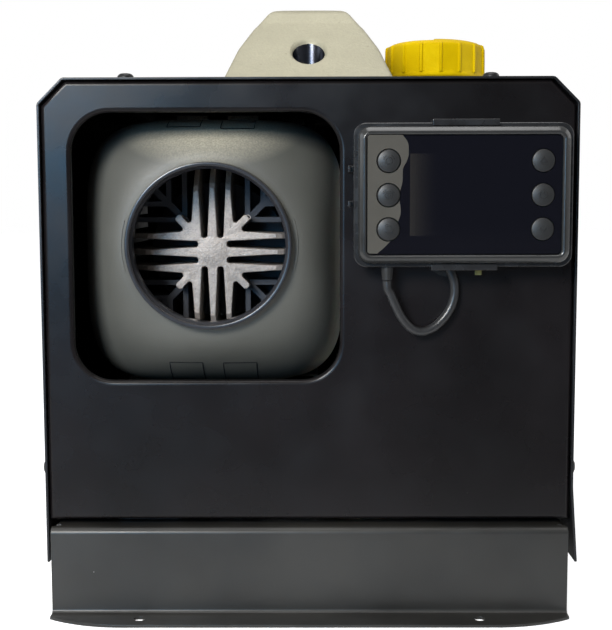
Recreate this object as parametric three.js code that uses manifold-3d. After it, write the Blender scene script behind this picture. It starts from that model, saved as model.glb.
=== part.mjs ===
// Portable diesel air heater: a folded sheet case with a heater unit, a fuel tank and a wall controller.
// Millimetres. X points right, Y points back and Z up, the front faces -Y, and z = 0 is the ground.
import * as THREE from 'three';
import { mergeVertices } from 'three/addons/utils/BufferGeometryUtils.js';
import Module from 'manifold-3d';

const wasm = await Module();
wasm.setup();

// Fits
const touch = 0.3;                // gap between two pieces that seat on each other
const runningGap = 2;             // gap round anything that turns
const holeGap = 0.5;              // a screw hole's radius over its screw

// Case
const caseWidth = 262;
const caseHeight = 265;
const coverDepth = 385;
const coverSheet = 1.2;
const coverChamfer = 12;
const coverBend = 2.5;
const coverLegBottom = 26;
const legSplay = 2.6;             // the right leg is bent out a little at its lower end
const legSplayHeight = 38;
const panelSheet = 1.2;
const panelInset = 1;             // the panels' faces sit this far inside the cover's ends
const panelFlange = 18;
const panelBend = 2.4;
const panelLift = 3;              // shadow gap between a panel and the deck

// Base
const baseSheet = 1.5;
const deckHeight = 44.5;
const baseBend = 2.6;
const baseInset = 2.8;            // the base's side walls stand this far inside the cover
const wallAhead = 4;              // the base's walls stand this far outside the cover's ends
const footReach = 17.5;
const footArc = 65;               // radius that trims the feet's outer corners
const footArcRun = 37;
const footHole = 2.75;
const footHoleInset = 44.7;
const sideWallBottom = 3;
const reliefWidth = 3;

// Window of the front panel
const windowWidth = 130.6;
const windowHeight = 131;
const windowRadius = 19;
const windowLip = 3.2;            // the window's edge is turned in
const windowDrop = 0.3;           // window centre under the outlet's centre

// Heater unit
const unitSideGap = 11.4;         // from the cover's left leg
const unitTopGap = 16.5;          // from the cover's outside
const unitWidth = 137;
const unitHeight = 140;
const unitRadius = 34;
const shellWall = 3;
const shellFront = -110;
const shellBack = 120;
const outletInner = 38;
const outletWall = 3.6;
const outletFront = -182;
const outletRise = 4.8;           // the outlet sits over the unit's axis
const collarLength = 6;
const hoodSkirt = 17.7;           // straight rear end of the hood
const hoodWall = 2.6;
const intakeCollar = 48;
const intakeBack = 187;
const intakeHoleGap = 2;
const fanTipGap = 4.5;            // from the shells' inside
const airGap = 9.5;               // between the shells and what they hold
const pipeBottom = 14;

// Heat exchanger
const starFront = -142;
const finPitch = 8.3;
const finRoot = 4.9;
const finTip = 2.7;
const finFlatReach = 34;          // the fins' front edges are flat to here, then slope back
const finSlope = 1.1;
const barWidth = 3.9;
const barReach = 27;
const deepSetBack = 13;
const coreSetBack = 34;
const coreRadius = 37;
const exchangerBack = 20;
const exchangerBore = 31;
const exchangerFace = 16;         // solid wall in front of the burner's bore
const chamberGap = 12;

// Carry handle
const handleBase = 95;
const handleWaist = 79.2;         // width where the sides bend in
const handleWaistRise = 23;
const handleNeck = 64;
const handleNeckRise = 35.5;
const handleTop = 43;
const handleHeight = 50.7;
const handleLength = 256;
const handleSlope = 45;           // run of the sloping legs, front to back
const handleCreaseRise = 40.6;
const handleBrow = 5;             // run of the steep band over the crease
const handleFlat = 124;           // level top, front to back
const fingerGap = 120;
const fingerHeight = 26;
const handleScrewY = 105.5;
const handleFloor = 6;            // casting under the screws' heads
const screwHeadRadius = 6.5;
const screwHeadHeight = 8;
const screwRadius = 4;
const mouthGap = 2.8;             // round the screws' heads

// Tank, cap and fuel parts
const tankSideGap = 5.4;          // from the heater unit
const tankCoverGap = 5.8;
const tankFront = -120;
const tankBack = 130;
const tankTopGap = 13;            // from the cover's outside
const tankWall = 3;
const tankRadius = 14;
const neckInset = 43.5;           // from the tank's right side
const neckY = 5;
const neckSides = 20;             // facets of everything round the neck
const neckRadius = 24;
const neckWall = 3.5;
const neckProud = 36;
const fuelRise = 21.5;            // the tank's outlet over the deck
const fuelLineGap = 9.5;          // the fuel line's axis beside the tank
const fittingY = -60;
const filterStart = 25;
const filterLength = 44;
const hoseSwing = 22;             // from the filter to the middle of its hose's turn
const grommetWall = 2.4;
const capWall = 5.4;
const capThreadGap = 2.6;
const capHeight = 21;
const capRoof = 3.4;
const capLobes = 16;
const capLobeDepth = 0.9;

// Controller
const panelSideGap = 58;          // from the case's right side to the controller's centre
const panelTopDrop = 56.5;
const holderStandoff = 5;
const holderPlate = 1.5;
const backWidth = 105;
const backHeight = 69.5;
const bezelSideStep = 4.5;
const bezelEndStep = 4.7;
const backDepth = 8.4;
const bezelDepth = 5.2;
const glassSideBorder = 8.9;
const glassEndBorder = 8.5;
const glassSheet = 1.5;
const buttonPitch = 16.1;
const buttonRadius = 5.3;
const buttonInset = { left: 10.4, right: 8.4 };
const buttonProud = 1.2;
const buttonTravel = 0.8;
const cableRadius = 2;

// What the driving sizes give
const halfDepth = coverDepth / 2;
const panelFace = halfDepth - panelInset;
const coverInside = caseWidth / 2 - coverSheet;
const panelHalfWidth = coverInside - touch;
const panelTop = caseHeight - coverSheet - touch;
const panelBottom = deckHeight + panelLift;
const wallFace = halfDepth + wallAhead;
const footFront = wallFace + footReach;
const baseWidth = caseWidth - 2 * baseInset;
const footHoleSpan = baseWidth - 2 * footHoleInset;
const unitX = unitSideGap + unitWidth / 2 - coverInside;
const unitZ = caseHeight - unitTopGap - unitHeight / 2;
const unitInside = Math.min(unitWidth, unitHeight) / 2 - shellWall;
const finEnvelope = unitInside - airGap;
const outletZ = unitZ + outletRise;
const mouthRadius = screwHeadRadius + mouthGap;
const tankLeft = unitX + unitWidth / 2 + tankSideGap;
const tankRight = coverInside - tankCoverGap;
const tankTop = caseHeight - tankTopGap;
const neckX = tankRight - neckInset;
const neckTop = caseHeight + neckProud;
const capRadius = neckRadius + capThreadGap + capWall;
const fuelX = tankLeft - fuelLineGap;
const fuelZ = deckHeight + fuelRise;
const filterFront = fittingY + filterStart;
const filterBack = filterFront + filterLength;
const panelCentreX = caseWidth / 2 - panelSideGap;
const panelCentreZ = caseHeight - panelTopDrop;
const bezelWidth = backWidth - bezelSideStep;
const bezelHeight = backHeight - bezelEndStep;
const glassWidth = bezelWidth - glassSideBorder;
const glassHeight = bezelHeight - glassEndBorder;
const buttonColumns = { left: buttonInset.left - glassWidth / 2, right: glassWidth / 2 - buttonInset.right };
const shelfTop = unitZ - unitHeight / 2 - 2.6;
const screwInset = 12;

const heater = new THREE.Group();

const paint = { color: 0x17171a, roughness: 0.32, metalness: 0.1 };
const zinc = { color: 0xb9bcc0, roughness: 0.35, metalness: 0.9 };
const cast = { color: 0xa8a093, roughness: 0.6, metalness: 0.75 };
const mouldedGrey = { color: 0x54544c, roughness: 0.75, metalness: 0 };
const mouldedBlack = { color: 0x1b1b1c, roughness: 0.5, metalness: 0 };
const rubber = { color: 0x101010, roughness: 0.85, metalness: 0 };
const steel = { color: 0x8c8f93, roughness: 0.4, metalness: 0.95 };
const polythene = { color: 0xd8d6cc, roughness: 0.55, metalness: 0 };
const yellow = { color: 0xf0de08, roughness: 0.45, metalness: 0 };
const darkGlass = { color: 0x07080c, roughness: 0.08, metalness: 0 };
const boardGreen = { color: 0x1d5a34, roughness: 0.6, metalness: 0 };
const copper = { color: 0xb06a35, roughness: 0.4, metalness: 0.9 };

// ---------- from geometry to solids ----------

// Volume of a triangle's cone to the origin, positive where the triangle faces out
function coneVolume(array, a, b, c) {
  const corner = (i) => new THREE.Vector3().fromArray(array, 3 * i);
  return corner(a).dot(corner(b).cross(corner(c))) / 6;
}

// A closed geometry as a solid whose faces point out
function solid(geometry) {
  const bare = geometry.clone();
  bare.deleteAttribute('normal');
  bare.deleteAttribute('uv');
  const merged = mergeVertices(bare, 1e-4);
  const vertProperties = new Float32Array(merged.attributes.position.array);
  const index = merged.index.array;
  const faces = [];
  let volume = 0;
  for (let i = 0; i < index.length; i += 3) {
    const [a, b, c] = [index[i], index[i + 1], index[i + 2]];
    if (a !== b && b !== c && c !== a) {
      faces.push([a, b, c]);
      volume += coneVolume(vertProperties, a, b, c);
    }
  }
  const ordered = volume < 0 ? faces.map(([a, b, c]) => [a, c, b]) : faces;
  const triVerts = new Uint32Array(ordered.flat());
  return new wasm.Manifold(new wasm.Mesh({ numProp: 3, vertProperties, triVerts }));
}

function joined(solids) {
  return solids.reduce((whole, next) => whole.add(next));
}

function cut(body, tools) {
  return tools.reduce((rest, tool) => rest.subtract(tool), body);
}

// Adds one finished piece to the heater
function piece(name, body, look) {
  const { vertProperties, triVerts } = body.getMesh();
  const geometry = new THREE.BufferGeometry();
  geometry.setAttribute('position', new THREE.BufferAttribute(vertProperties, 3));
  geometry.setIndex(new THREE.BufferAttribute(triVerts, 1));
  geometry.computeVertexNormals();
  const mesh = new THREE.Mesh(geometry, new THREE.MeshStandardMaterial({ ...look, flatShading: true }));
  mesh.name = name;
  heater.add(mesh);
}

function block(x0, x1, y0, y1, z0, z1) {
  const box = new THREE.BoxGeometry(x1 - x0, y1 - y0, z1 - z0);
  return solid(box.translate((x0 + x1) / 2, (y0 + y1) / 2, (z0 + z1) / 2));
}

function extruded(shape, depth, curveSegments = 5) {
  return new THREE.ExtrudeGeometry(shape, { depth, bevelEnabled: false, curveSegments });
}

// A shape drawn in X and Z, run from y0 to y1
function alongY(shape, y0, y1, curveSegments) {
  return solid(extruded(shape, y1 - y0, curveSegments).rotateX(Math.PI / 2).translate(0, y1, 0));
}

// A shape drawn in Y and Z, run from x0 to x1
function alongX(shape, x0, x1, curveSegments) {
  const turn = new THREE.Matrix4().makeBasis(
    new THREE.Vector3(0, 1, 0),
    new THREE.Vector3(0, 0, 1),
    new THREE.Vector3(1, 0, 0),
  );
  return solid(extruded(shape, x1 - x0, curveSegments).applyMatrix4(turn).translate(x0, 0, 0));
}

// A shape drawn in X and Y, run from z0 to z1
function alongZ(shape, z0, z1, curveSegments) {
  return solid(extruded(shape, z1 - z0, curveSegments).translate(0, 0, z0));
}

// A [radius, height] profile turned about a vertical axis at (x, y)
function turnedZ(profile, x, y, segments = 14) {
  const points = profile.map(([radius, height]) => new THREE.Vector2(radius, height));
  return solid(new THREE.LatheGeometry(points, segments).rotateX(Math.PI / 2).translate(x, y, 0));
}

// The same about an axis that runs front to back at (x, z)
function turnedY(profile, x, z, segments = 14) {
  const points = profile.map(([radius, depth]) => new THREE.Vector2(radius, depth));
  return solid(new THREE.LatheGeometry(points, segments).translate(x, 0, z));
}

// The same about an axis that runs left to right at (y, z)
function turnedX(profile, y, z, segments = 12) {
  const points = profile.map(([radius, along]) => new THREE.Vector2(radius, along));
  return solid(new THREE.LatheGeometry(points, segments).rotateZ(-Math.PI / 2).translate(0, y, z));
}

function bar(radius, from, to) {
  return [[0, from], [radius, from], [radius, to], [0, to]];
}

function ring(inner, outer, from, to) {
  return [[inner, from], [outer, from], [outer, to], [inner, to], [inner, from]];
}

function roundedRectangle(width, height, radius, x = 0, z = 0) {
  const [right, top] = [x + width / 2, z + height / 2];
  const [left, bottom] = [x - width / 2, z - height / 2];
  const shape = new THREE.Shape();
  shape.absarc(right - radius, bottom + radius, radius, -Math.PI / 2, 0);
  shape.absarc(right - radius, top - radius, radius, 0, Math.PI / 2);
  shape.absarc(left + radius, top - radius, radius, Math.PI / 2, Math.PI);
  shape.absarc(left + radius, bottom + radius, radius, Math.PI, 1.5 * Math.PI);
  return shape;
}

const nearlyStraight = THREE.MathUtils.degToRad(86);

// A row of corners with each inner corner rounded off, as far as its two sides have room
function rounded(corners, radius, steps = 3) {
  const line = [corners[0]];
  for (let i = 1; i < corners.length - 1; i += 1) {
    const back = corners[i - 1].clone().sub(corners[i]);
    const on = corners[i + 1].clone().sub(corners[i]);
    const room = 0.49 * Math.min(back.length(), on.length());
    const halfAngle = Math.acos(back.normalize().dot(on.normalize())) / 2;
    if (halfAngle > nearlyStraight) {
      line.push(corners[i]);
      continue;
    }
    const reach = Math.min(radius / Math.tan(halfAngle), room);
    const start = back.multiplyScalar(reach).add(corners[i]);
    const end = on.multiplyScalar(reach).add(corners[i]);
    line.push(...new THREE.QuadraticBezierCurve(start, corners[i], end).getPoints(steps));
  }
  line.push(corners[corners.length - 1]);
  return line;
}

// Outline of a folded sheet whose middle layer follows the corners
function foldedSheet(corners, sheet, bend) {
  const line = rounded(corners.map(([u, v]) => new THREE.Vector2(u, v)), bend, 2);
  const sides = [[], []];
  line.forEach((point, i) => {
    const before = line[Math.max(i - 1, 0)];
    const after = line[Math.min(i + 1, line.length - 1)];
    const incoming = i > 0 ? point.clone().sub(before).normalize() : after.clone().sub(point).normalize();
    const outgoing = i < line.length - 1 ? after.clone().sub(point).normalize() : incoming;
    const normal = new THREE.Vector2(-incoming.y - outgoing.y, incoming.x + outgoing.x).normalize();
    const reach = sheet / 2 / normal.dot(new THREE.Vector2(-outgoing.y, outgoing.x));
    sides[0].push(point.clone().addScaledVector(normal, reach));
    sides[1].push(point.clone().addScaledVector(normal, -reach));
  });
  return new THREE.Shape([...sides[0], ...sides[1].reverse()]);
}

// Skin over a row of convex outlines with equally many points, closed at both ends
function lofted(outlines) {
  const count = outlines[0].length;
  const positions = outlines.flat().flatMap((point) => point.toArray());
  const index = [];
  for (let row = 0; row < outlines.length - 1; row += 1) {
    for (let i = 0; i < count; i += 1) {
      const a = row * count + i;
      const b = row * count + (i + 1) % count;
      index.push(a, b, b + count, a, b + count, a + count);
    }
  }
  const last = (outlines.length - 1) * count;
  for (let i = 1; i < count - 1; i += 1) {
    index.push(0, i + 1, i, last, last + i, last + i + 1);
  }
  const geometry = new THREE.BufferGeometry();
  geometry.setAttribute('position', new THREE.Float32BufferAttribute(positions, 3));
  geometry.setIndex(index);
  return solid(geometry);
}

// A round tube or rod along points
function tubeAlong(points, radius, sides = 8, steps = 40) {
  const curve = new THREE.CatmullRomCurve3(points.map((point) => new THREE.Vector3(...point)), false, 'centripetal');
  const section = new THREE.Shape();
  for (let i = 0; i < sides; i += 1) {
    const angle = 2 * Math.PI * i / sides;
    const [u, v] = [radius * Math.cos(angle), radius * Math.sin(angle)];
    if (i === 0) section.moveTo(u, v);
    else section.lineTo(u, v);
  }
  return solid(new THREE.ExtrudeGeometry(section, { steps, bevelEnabled: false, extrudePath: curve }));
}

// ---------- case ----------

// Plan of the base with its front and rear feet trimmed by arcs
function basePlan() {
  const half = baseWidth / 2;
  const arcStart = half - footArcRun;
  const arcCentreY = footFront - footArc;
  const sweep = Math.asin(footArcRun / footArc);
  const up = Math.PI / 2;
  const plan = new THREE.Shape();
  plan.absarc(arcStart, arcCentreY, footArc, up - sweep, up, false);
  plan.absarc(-arcStart, arcCentreY, footArc, up, up + sweep, false);
  plan.absarc(-arcStart, -arcCentreY, footArc, -up - sweep, -up, false);
  plan.absarc(arcStart, -arcCentreY, footArc, -up, -up + sweep, false);
  return plan;
}

const exhaustY = -10;
const airPipeY = 36;
const pipeRadius = 12;
const pipeWall = 1.5;

function footHoles() {
  const holes = [];
  for (const side of [-1, 1]) {
    for (const end of [-1, 1]) {
      const y = end * (wallFace + footReach / 2);
      holes.push(turnedZ(bar(footHole, -1, baseSheet + 1), side * footHoleSpan / 2, y, 8));
    }
  }
  return holes;
}

// One pressing: deck, front and rear walls with out-turned feet, and two short side walls
function basePan() {
  const middle = baseSheet / 2;
  const wallMiddle = wallFace - middle;
  const hat = alongX(foldedSheet([
    [-footFront, middle],
    [-wallMiddle, middle],
    [-wallMiddle, deckHeight - middle],
    [wallMiddle, deckHeight - middle],
    [wallMiddle, middle],
    [footFront, middle],
  ], baseSheet, baseBend), -baseWidth / 2, baseWidth / 2);
  const trimmed = hat.intersect(alongZ(basePlan(), -1, deckHeight + 1, 5));
  const half = baseWidth / 2;
  const sideEnd = wallFace - baseBend - baseSheet - reliefWidth;
  const fold = half - baseBend - baseSheet;
  const notches = [-1, 1].map((side) => block(
    Math.min(side * fold, side * (half + 1)),
    Math.max(side * fold, side * (half + 1)),
    -sideEnd - reliefWidth,
    sideEnd + reliefWidth,
    -1,
    deckHeight + 1,
  ));
  const sides = alongY(foldedSheet([
    [-half + middle, sideWallBottom],
    [-half + middle, deckHeight - middle],
    [half - middle, deckHeight - middle],
    [half - middle, sideWallBottom],
  ], baseSheet, baseBend), -sideEnd, sideEnd);
  const pipes = [exhaustY, airPipeY].map((y) => (
    turnedZ(bar(pipeRadius + runningGap, deckHeight - 10, deckHeight + 5), unitX, y)));
  return cut(cut(trimmed, notches).add(sides), [...pipes, ...footHoles()]);
}

const coverScrewX = caseWidth / 2 - 41.5;
const coverScrewZ = panelBottom + 24.5;
const coverScrewY = halfDepth - screwInset;
const coverScrewRadius = 2;

// Folded shell: top, two 45 degree corners and two side legs
function topCover() {
  const x = caseWidth / 2 - coverSheet / 2;
  const top = caseHeight - coverSheet / 2;
  const shell = alongY(foldedSheet([
    [-x, coverLegBottom],
    [-x, top - coverChamfer],
    [-x + coverChamfer, top],
    [x - coverChamfer, top],
    [x, top - coverChamfer],
    [x, coverLegBottom + legSplayHeight],
    [x + legSplay, coverLegBottom],
  ], coverSheet, coverBend), -halfDepth, halfDepth);
  const nuts = [-1, 1].map((end) => turnedZ(
    bar(screwHeadRadius, caseHeight - 8, caseHeight - coverSheet / 2), 0, end * handleScrewY, 12));
  const above = [caseHeight - 12, caseHeight + 2];
  const holes = [turnedZ(bar(neckRadius + grommetWall + touch, ...above), neckX, neckY, neckSides)];
  for (const end of [-1, 1]) {
    holes.push(turnedZ(bar(screwRadius + holeGap, ...above), 0, end * handleScrewY, 12));
    for (const side of [-1, 1]) {
      const y = end * coverScrewY;
      holes.push(turnedZ(bar(coverScrewRadius + holeGap, ...above), side * coverScrewX, y, 8));
      const wall = side * caseWidth / 2;
      const drill = bar(coverScrewRadius + holeGap, wall - 6, wall + 6);
      holes.push(turnedX(drill, y, coverScrewZ, 8));
    }
  }
  return cut(joined([shell, ...nuts]), holes);
}

// Outline of a panel at depth y, drawn in by inset from its outer face
function panelOutline(inset, y) {
  const half = panelHalfWidth - inset;
  const top = panelTop - inset;
  const bottom = panelBottom + inset;
  const corner = coverChamfer - inset * (2 - Math.SQRT2);
  return [
    [-half, bottom],
    [half, bottom],
    [half, top - corner],
    [half - corner, top],
    [-half + corner, top],
    [-half, top - corner],
  ].map(([x, z]) => new THREE.Vector3(x, y, z));
}

// Pan with rounded edges, its face towards -Y, before any opening is cut
function panelPan(face) {
  const layer = (inset, bend, front, back) => {
    const outlines = [];
    for (let step = 0; step <= 3; step += 1) {
      const angle = Math.PI / 2 * step / 3;
      const drawnIn = inset + bend * (1 - Math.sin(angle));
      outlines.push(panelOutline(drawnIn, front + bend * (1 - Math.cos(angle))));
    }
    outlines.push(panelOutline(inset, back));
    return lofted(outlines);
  };
  const outer = layer(0, panelBend, face, face + panelFlange);
  const inner = layer(panelSheet, panelBend - panelSheet, face + panelSheet, face + panelFlange + 1);
  return outer.subtract(inner);
}

const panelFootInset = 49.2;
const panelFootDepth = 8;

// Two tongues of the lower flange step down to the deck, back from the face
function panelFeet(face) {
  return [-1, 1].map((side) => {
    const x = side * (panelHalfWidth - panelFootInset);
    const [front, back] = [face + panelFlange - panelFootDepth, face + panelFlange];
    return block(x - 15, x + 15, front, back, deckHeight + touch, panelBottom + panelSheet / 2);
  });
}

function flangeScrewHoles(face) {
  const y = Math.sign(face) * coverScrewY;
  const radius = coverScrewRadius + holeGap;
  const holes = [];
  for (const side of [-1, 1]) {
    holes.push(turnedZ(bar(radius, panelTop - 5, panelTop + 2), side * coverScrewX, y, 8));
    const x = side * panelHalfWidth;
    holes.push(turnedX(bar(radius, x - 5, x + 5), y, coverScrewZ, 8));
  }
  return holes;
}

const windowZ = outletZ - windowDrop;
const cableHole = { x: panelCentreX - 6, z: panelCentreZ - 31.5, radius: 7 };

function frontPanel() {
  const face = -panelFace;
  const opening = roundedRectangle(windowWidth, windowHeight, windowRadius, unitX, windowZ);
  const rim = roundedRectangle(
    windowWidth + 2 * panelSheet, windowHeight + 2 * panelSheet, windowRadius + panelSheet, unitX, windowZ);
  const lip = alongY(rim, face + panelSheet / 2, face + windowLip, 5);
  const hole = turnedY(bar(cableHole.radius, face - 2, face + 4), cableHole.x, cableHole.z, 16);
  const whole = joined([panelPan(face), lip, ...panelFeet(face)]);
  const tools = [alongY(opening, face - 2, face + windowLip + 2, 5), hole, ...flangeScrewHoles(face)];
  return cut(whole, tools);
}

const intakeRadius = intakeCollar + intakeHoleGap;
const powerHole = { x: caseWidth / 2 - 53, z: panelBottom + 30.5, radius: 9 };

function rearPanel() {
  const face = panelFace;
  const mirror = (body) => body.mirror([0, 1, 0]);
  const whole = joined([mirror(panelPan(-face)), ...panelFeet(-face).map(mirror)]);
  const tools = [
    turnedY(bar(intakeRadius, face - 4, face + 4), unitX, unitZ, 24),
    turnedY(bar(powerHole.radius, face - 4, face + 4), powerHole.x, powerHole.z, 14),
    ...flangeScrewHoles(face),
  ];
  return cut(whole, tools);
}

// Pan-head screw along +Z from its seat at the origin
function panHead(seat, length) {
  const headRadius = 2 * coverScrewRadius;
  return [
    [0, seat - length],
    [coverScrewRadius, seat - length],
    [coverScrewRadius, seat],
    [headRadius, seat],
    [headRadius, seat + 1.2],
    [headRadius * 0.7, seat + 2.4],
    [0, seat + 2.7],
  ];
}

// The front row: two screws from above and one at each side
function coverScrews() {
  const length = 11;
  for (const [side, name] of [[-1, 'left'], [1, 'right']]) {
    const onTop = panHead(caseHeight + touch, length);
    piece(`top_screw_${name}`, turnedZ(onTop, side * coverScrewX, -coverScrewY, 8), paint);
    const onSide = panHead(caseWidth / 2 + touch, length);
    const sideways = onSide.map(([radius, along]) => [radius, side * along]);
    piece(`side_screw_${name}`, turnedX(sideways, -coverScrewY, coverScrewZ, 8), paint);
  }
}

piece('base_pan', basePan(), paint);
piece('front_panel', frontPanel(), paint);
piece('rear_panel', rearPanel(), paint);
piece('top_cover', topCover(), paint);
coverScrews();

// ---------- carry handle ----------

const handleCorner = 12;

// Side view of the casting: long sloping legs, a straight top and a finger gap
function handleSide() {
  const foot = handleLength / 2;
  const bottom = caseHeight + touch;
  const top = caseHeight + handleHeight;
  const slopeFoot = bottom + 4;
  const crease = foot - handleSlope;
  const creaseHeight = caseHeight + handleCreaseRise;
  const outer = rounded([
    [-foot, bottom],
    [-foot, slopeFoot],
    [-crease, creaseHeight],
    [handleBrow - crease, top - 2.8],
    [-handleFlat / 2, top],
    [handleFlat / 2, top],
    [crease - handleBrow, top - 2.8],
    [crease, creaseHeight],
    [foot, slopeFoot],
    [foot, bottom],
  ].map(([y, z]) => new THREE.Vector2(y, z)), handleCorner, 2);
  const inner = rounded([
    [fingerGap / 2, bottom],
    [fingerGap / 2 - 4, bottom + fingerHeight],
    [-fingerGap / 2 + 4, bottom + fingerHeight],
    [-fingerGap / 2, bottom],
  ].map(([y, z]) => new THREE.Vector2(y, z)), handleCorner, 3);
  return new THREE.Shape([...outer, ...inner]);
}

// Front view of the casting: wide foot, narrow top and round shoulders
function handleFront() {
  const bottom = caseHeight + touch;
  const top = caseHeight + handleHeight;
  const half = [
    [handleBase / 2, bottom],
    [handleWaist / 2, bottom + handleWaistRise],
    [handleNeck / 2, bottom + handleNeckRise],
    [handleTop / 2, top - 0.8],
  ];
  const mirrored = half.map(([x, z]) => [-x, z]).reverse();
  const outline = [...half, [0, top + 0.4], ...mirrored].map(([x, z]) => new THREE.Vector2(x, z));
  return new THREE.Shape(rounded(outline, handleCorner, 3));
}

function carryHandle() {
  const seat = caseHeight + handleFloor;
  const whole = alongX(handleSide(), -handleBase / 2, handleBase / 2)
    .intersect(alongY(handleFront(), -handleLength / 2, handleLength / 2));
  const holes = [-1, 1].flatMap((end) => [
    turnedZ(bar(mouthRadius, seat, caseHeight + handleHeight), 0, end * handleScrewY, 20),
    turnedZ(bar(screwRadius + holeGap, caseHeight - 1, seat + 1), 0, end * handleScrewY, 12),
  ]);
  return cut(whole, holes);
}

// Hexagon-socket head screw
function handleScrew(y) {
  const seat = caseHeight + handleFloor + touch;
  const screw = turnedZ([
    [0, caseHeight - 12],
    [screwRadius, caseHeight - 12],
    [screwRadius, seat],
    [screwHeadRadius, seat],
    [screwHeadRadius, seat + screwHeadHeight],
    [0, seat + screwHeadHeight],
  ], 0, y, 12);
  const socket = turnedZ(bar(screwHeadRadius / 2, seat + screwHeadHeight / 2, seat + screwHeadHeight + 1), 0, y, 6);
  return screw.subtract(socket);
}

piece('carry_handle', carryHandle(), cast);
piece('handle_screw_front', handleScrew(-handleScrewY), steel);
piece('handle_screw_rear', handleScrew(handleScrewY), steel);

// ---------- heater unit ----------

const fuelInlet = { x: unitX + 15.4, y: 12, radius: 2.5 };
const pipes = [[exhaustY, pipeRadius], [airPipeY, pipeRadius]];

function pipeHoles(from, to) {
  const holes = pipes.map(([y, radius]) => turnedZ(bar(radius + runningGap / 2, from, to), unitX, y));
  holes.push(turnedZ(bar(fuelInlet.radius + 1, from, to), fuelInlet.x, fuelInlet.y, 12));
  return holes;
}

const standSheet = 1.5;
const standLength = 180;
const standFoot = 8;
const standSideGap = 2.1;
const standWindowLength = 60;
const standWindowHeight = 30;
const strapSheet = 1;
const strapFoot = 9;
const strapFootEdge = tankLeft - touch - strapSheet / 2 - strapFoot;
const standHalfWidth = strapFootEdge - standSideGap - standFoot - unitX;

// Bridge over the fuel pump that carries the unit
function heaterStand() {
  const [left, right] = [unitX - standHalfWidth, unitX + standHalfWidth];
  const low = deckHeight + touch + standSheet / 2;
  const high = shelfTop - standSheet / 2;
  const bridge = alongY(foldedSheet([
    [left - standFoot, low],
    [left, low],
    [left, high],
    [right, high],
    [right, low],
    [right + standFoot, low],
  ], standSheet, 2.5), -standLength / 2, standLength / 2);
  const window = roundedRectangle(standWindowLength, standWindowHeight, 6, filterBack + hoseSwing, fuelZ);
  return cut(bridge, [
    alongX(window, right - 5, right + 5, 3),
    ...pipeHoles(high - 5, high + 5),
  ]);
}

const gasketThickness = 2;
const gasketWidth = 80;
const gasketLength = 110;
const gasketCorner = 10;
const gasketBottom = shelfTop + touch;

function footGasket() {
  const plan = roundedRectangle(gasketWidth, gasketLength, gasketCorner, unitX, (exhaustY + airPipeY) / 2);
  return cut(alongZ(plan, gasketBottom, gasketBottom + gasketThickness, 3), pipeHoles(gasketBottom - 1, shelfTop + 5));
}

// Half-turns of a squarish ring: power 2 is round, higher is squarer
function squarish(halfWidth, halfHeight, power, y, z, steps = 28) {
  const points = [];
  for (let i = 0; i < steps; i += 1) {
    const angle = 2 * Math.PI * i / steps;
    const reach = (v) => Math.sign(v) * Math.abs(v) ** (2 / power);
    points.push(new THREE.Vector3(
      unitX + halfWidth * reach(Math.cos(angle)),
      y,
      z + halfHeight * reach(Math.sin(angle)),
    ));
  }
  return points;
}

// One skin of the outlet hood, drawn in by inset: round collar, wide shoulder, squarish rear
function hoodSkin(inset, front, back, rows) {
  const collar = outletInner + outletWall - inset;
  const shoulderFront = outletFront + collarLength + inset;
  const shoulderLength = shellFront - touch - hoodSkirt - outletFront - collarLength;
  const outlines = [squarish(collar, collar, 2, front, outletZ)];
  for (let row = 0; row <= rows; row += 1) {
    const angle = Math.PI / 2 * row / rows;
    const spread = Math.sin(angle);
    outlines.push(squarish(
      collar + (unitWidth / 2 - inset - collar) * spread,
      collar + (unitHeight / 2 - inset - collar) * spread,
      2 + 2.4 * spread ** 2,
      shoulderFront + shoulderLength * (1 - Math.cos(angle)),
      outletZ - outletRise * spread,
    ));
  }
  outlines.push(squarish(unitWidth / 2 - inset, unitHeight / 2 - inset, 4.4, back, unitZ));
  return lofted(outlines);
}

function outletHood() {
  const back = shellFront - touch;
  const outer = hoodSkin(0, outletFront, back, 6);
  const inner = hoodSkin(hoodWall, outletFront - 1, back + 1, 3);
  const bore = turnedY(bar(outletInner, outletFront - 1, outletFront + collarLength + 4), unitX, outletZ, 28);
  return cut(outer, [inner, bore]);
}

// Half of the unit's body, upper or lower
function bodyShell(side) {
  const tube = (inset) => lofted([
    squarish(unitWidth / 2 - inset, unitHeight / 2 - inset, 4.4, shellFront - inset, unitZ),
    squarish(unitWidth / 2 - inset, unitHeight / 2 - inset, 4.4, shellBack + inset, unitZ),
  ]);
  const wall = tube(0).subtract(tube(shellWall));
  const seam = unitZ + side * touch / 2;
  const far = unitZ + side * unitHeight;
  const [left, right] = [unitX - unitWidth, unitX + unitWidth];
  const half = block(left, right, shellFront - 5, shellBack + 5, Math.min(seam, far), Math.max(seam, far));
  return wall.intersect(half);
}

function lowerShell() {
  return cut(bodyShell(-1), pipeHoles(unitZ - unitHeight / 2 - 2, unitZ - unitHeight / 2 + 6));
}

piece('heater_stand', heaterStand(), steel);
piece('foot_gasket', footGasket(), rubber);
piece('outlet_hood', outletHood(), mouldedGrey);
piece('upper_shell', bodyShell(1), mouldedBlack);
piece('lower_shell', lowerShell(), mouldedBlack);

// ---------- heat exchanger ----------

const hubReach = 9;
const sensorY = -60;
const sensorPad = finEnvelope - 11;
const plugY = -2;
const plugRadius = 4.2;

// Quarter turns of an outline drawn between the upright and the diagonal, mirrored over the diagonal
function quartered(eighth) {
  const quarter = [...eighth, ...eighth.map(([x, z]) => [z, x]).reverse()];
  const turns = [([x, z]) => [x, z], ([x, z]) => [z, -x], ([x, z]) => [-x, -z], ([x, z]) => [-z, x]];
  return turns.flatMap((turn) => quarter.map(turn));
}

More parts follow.
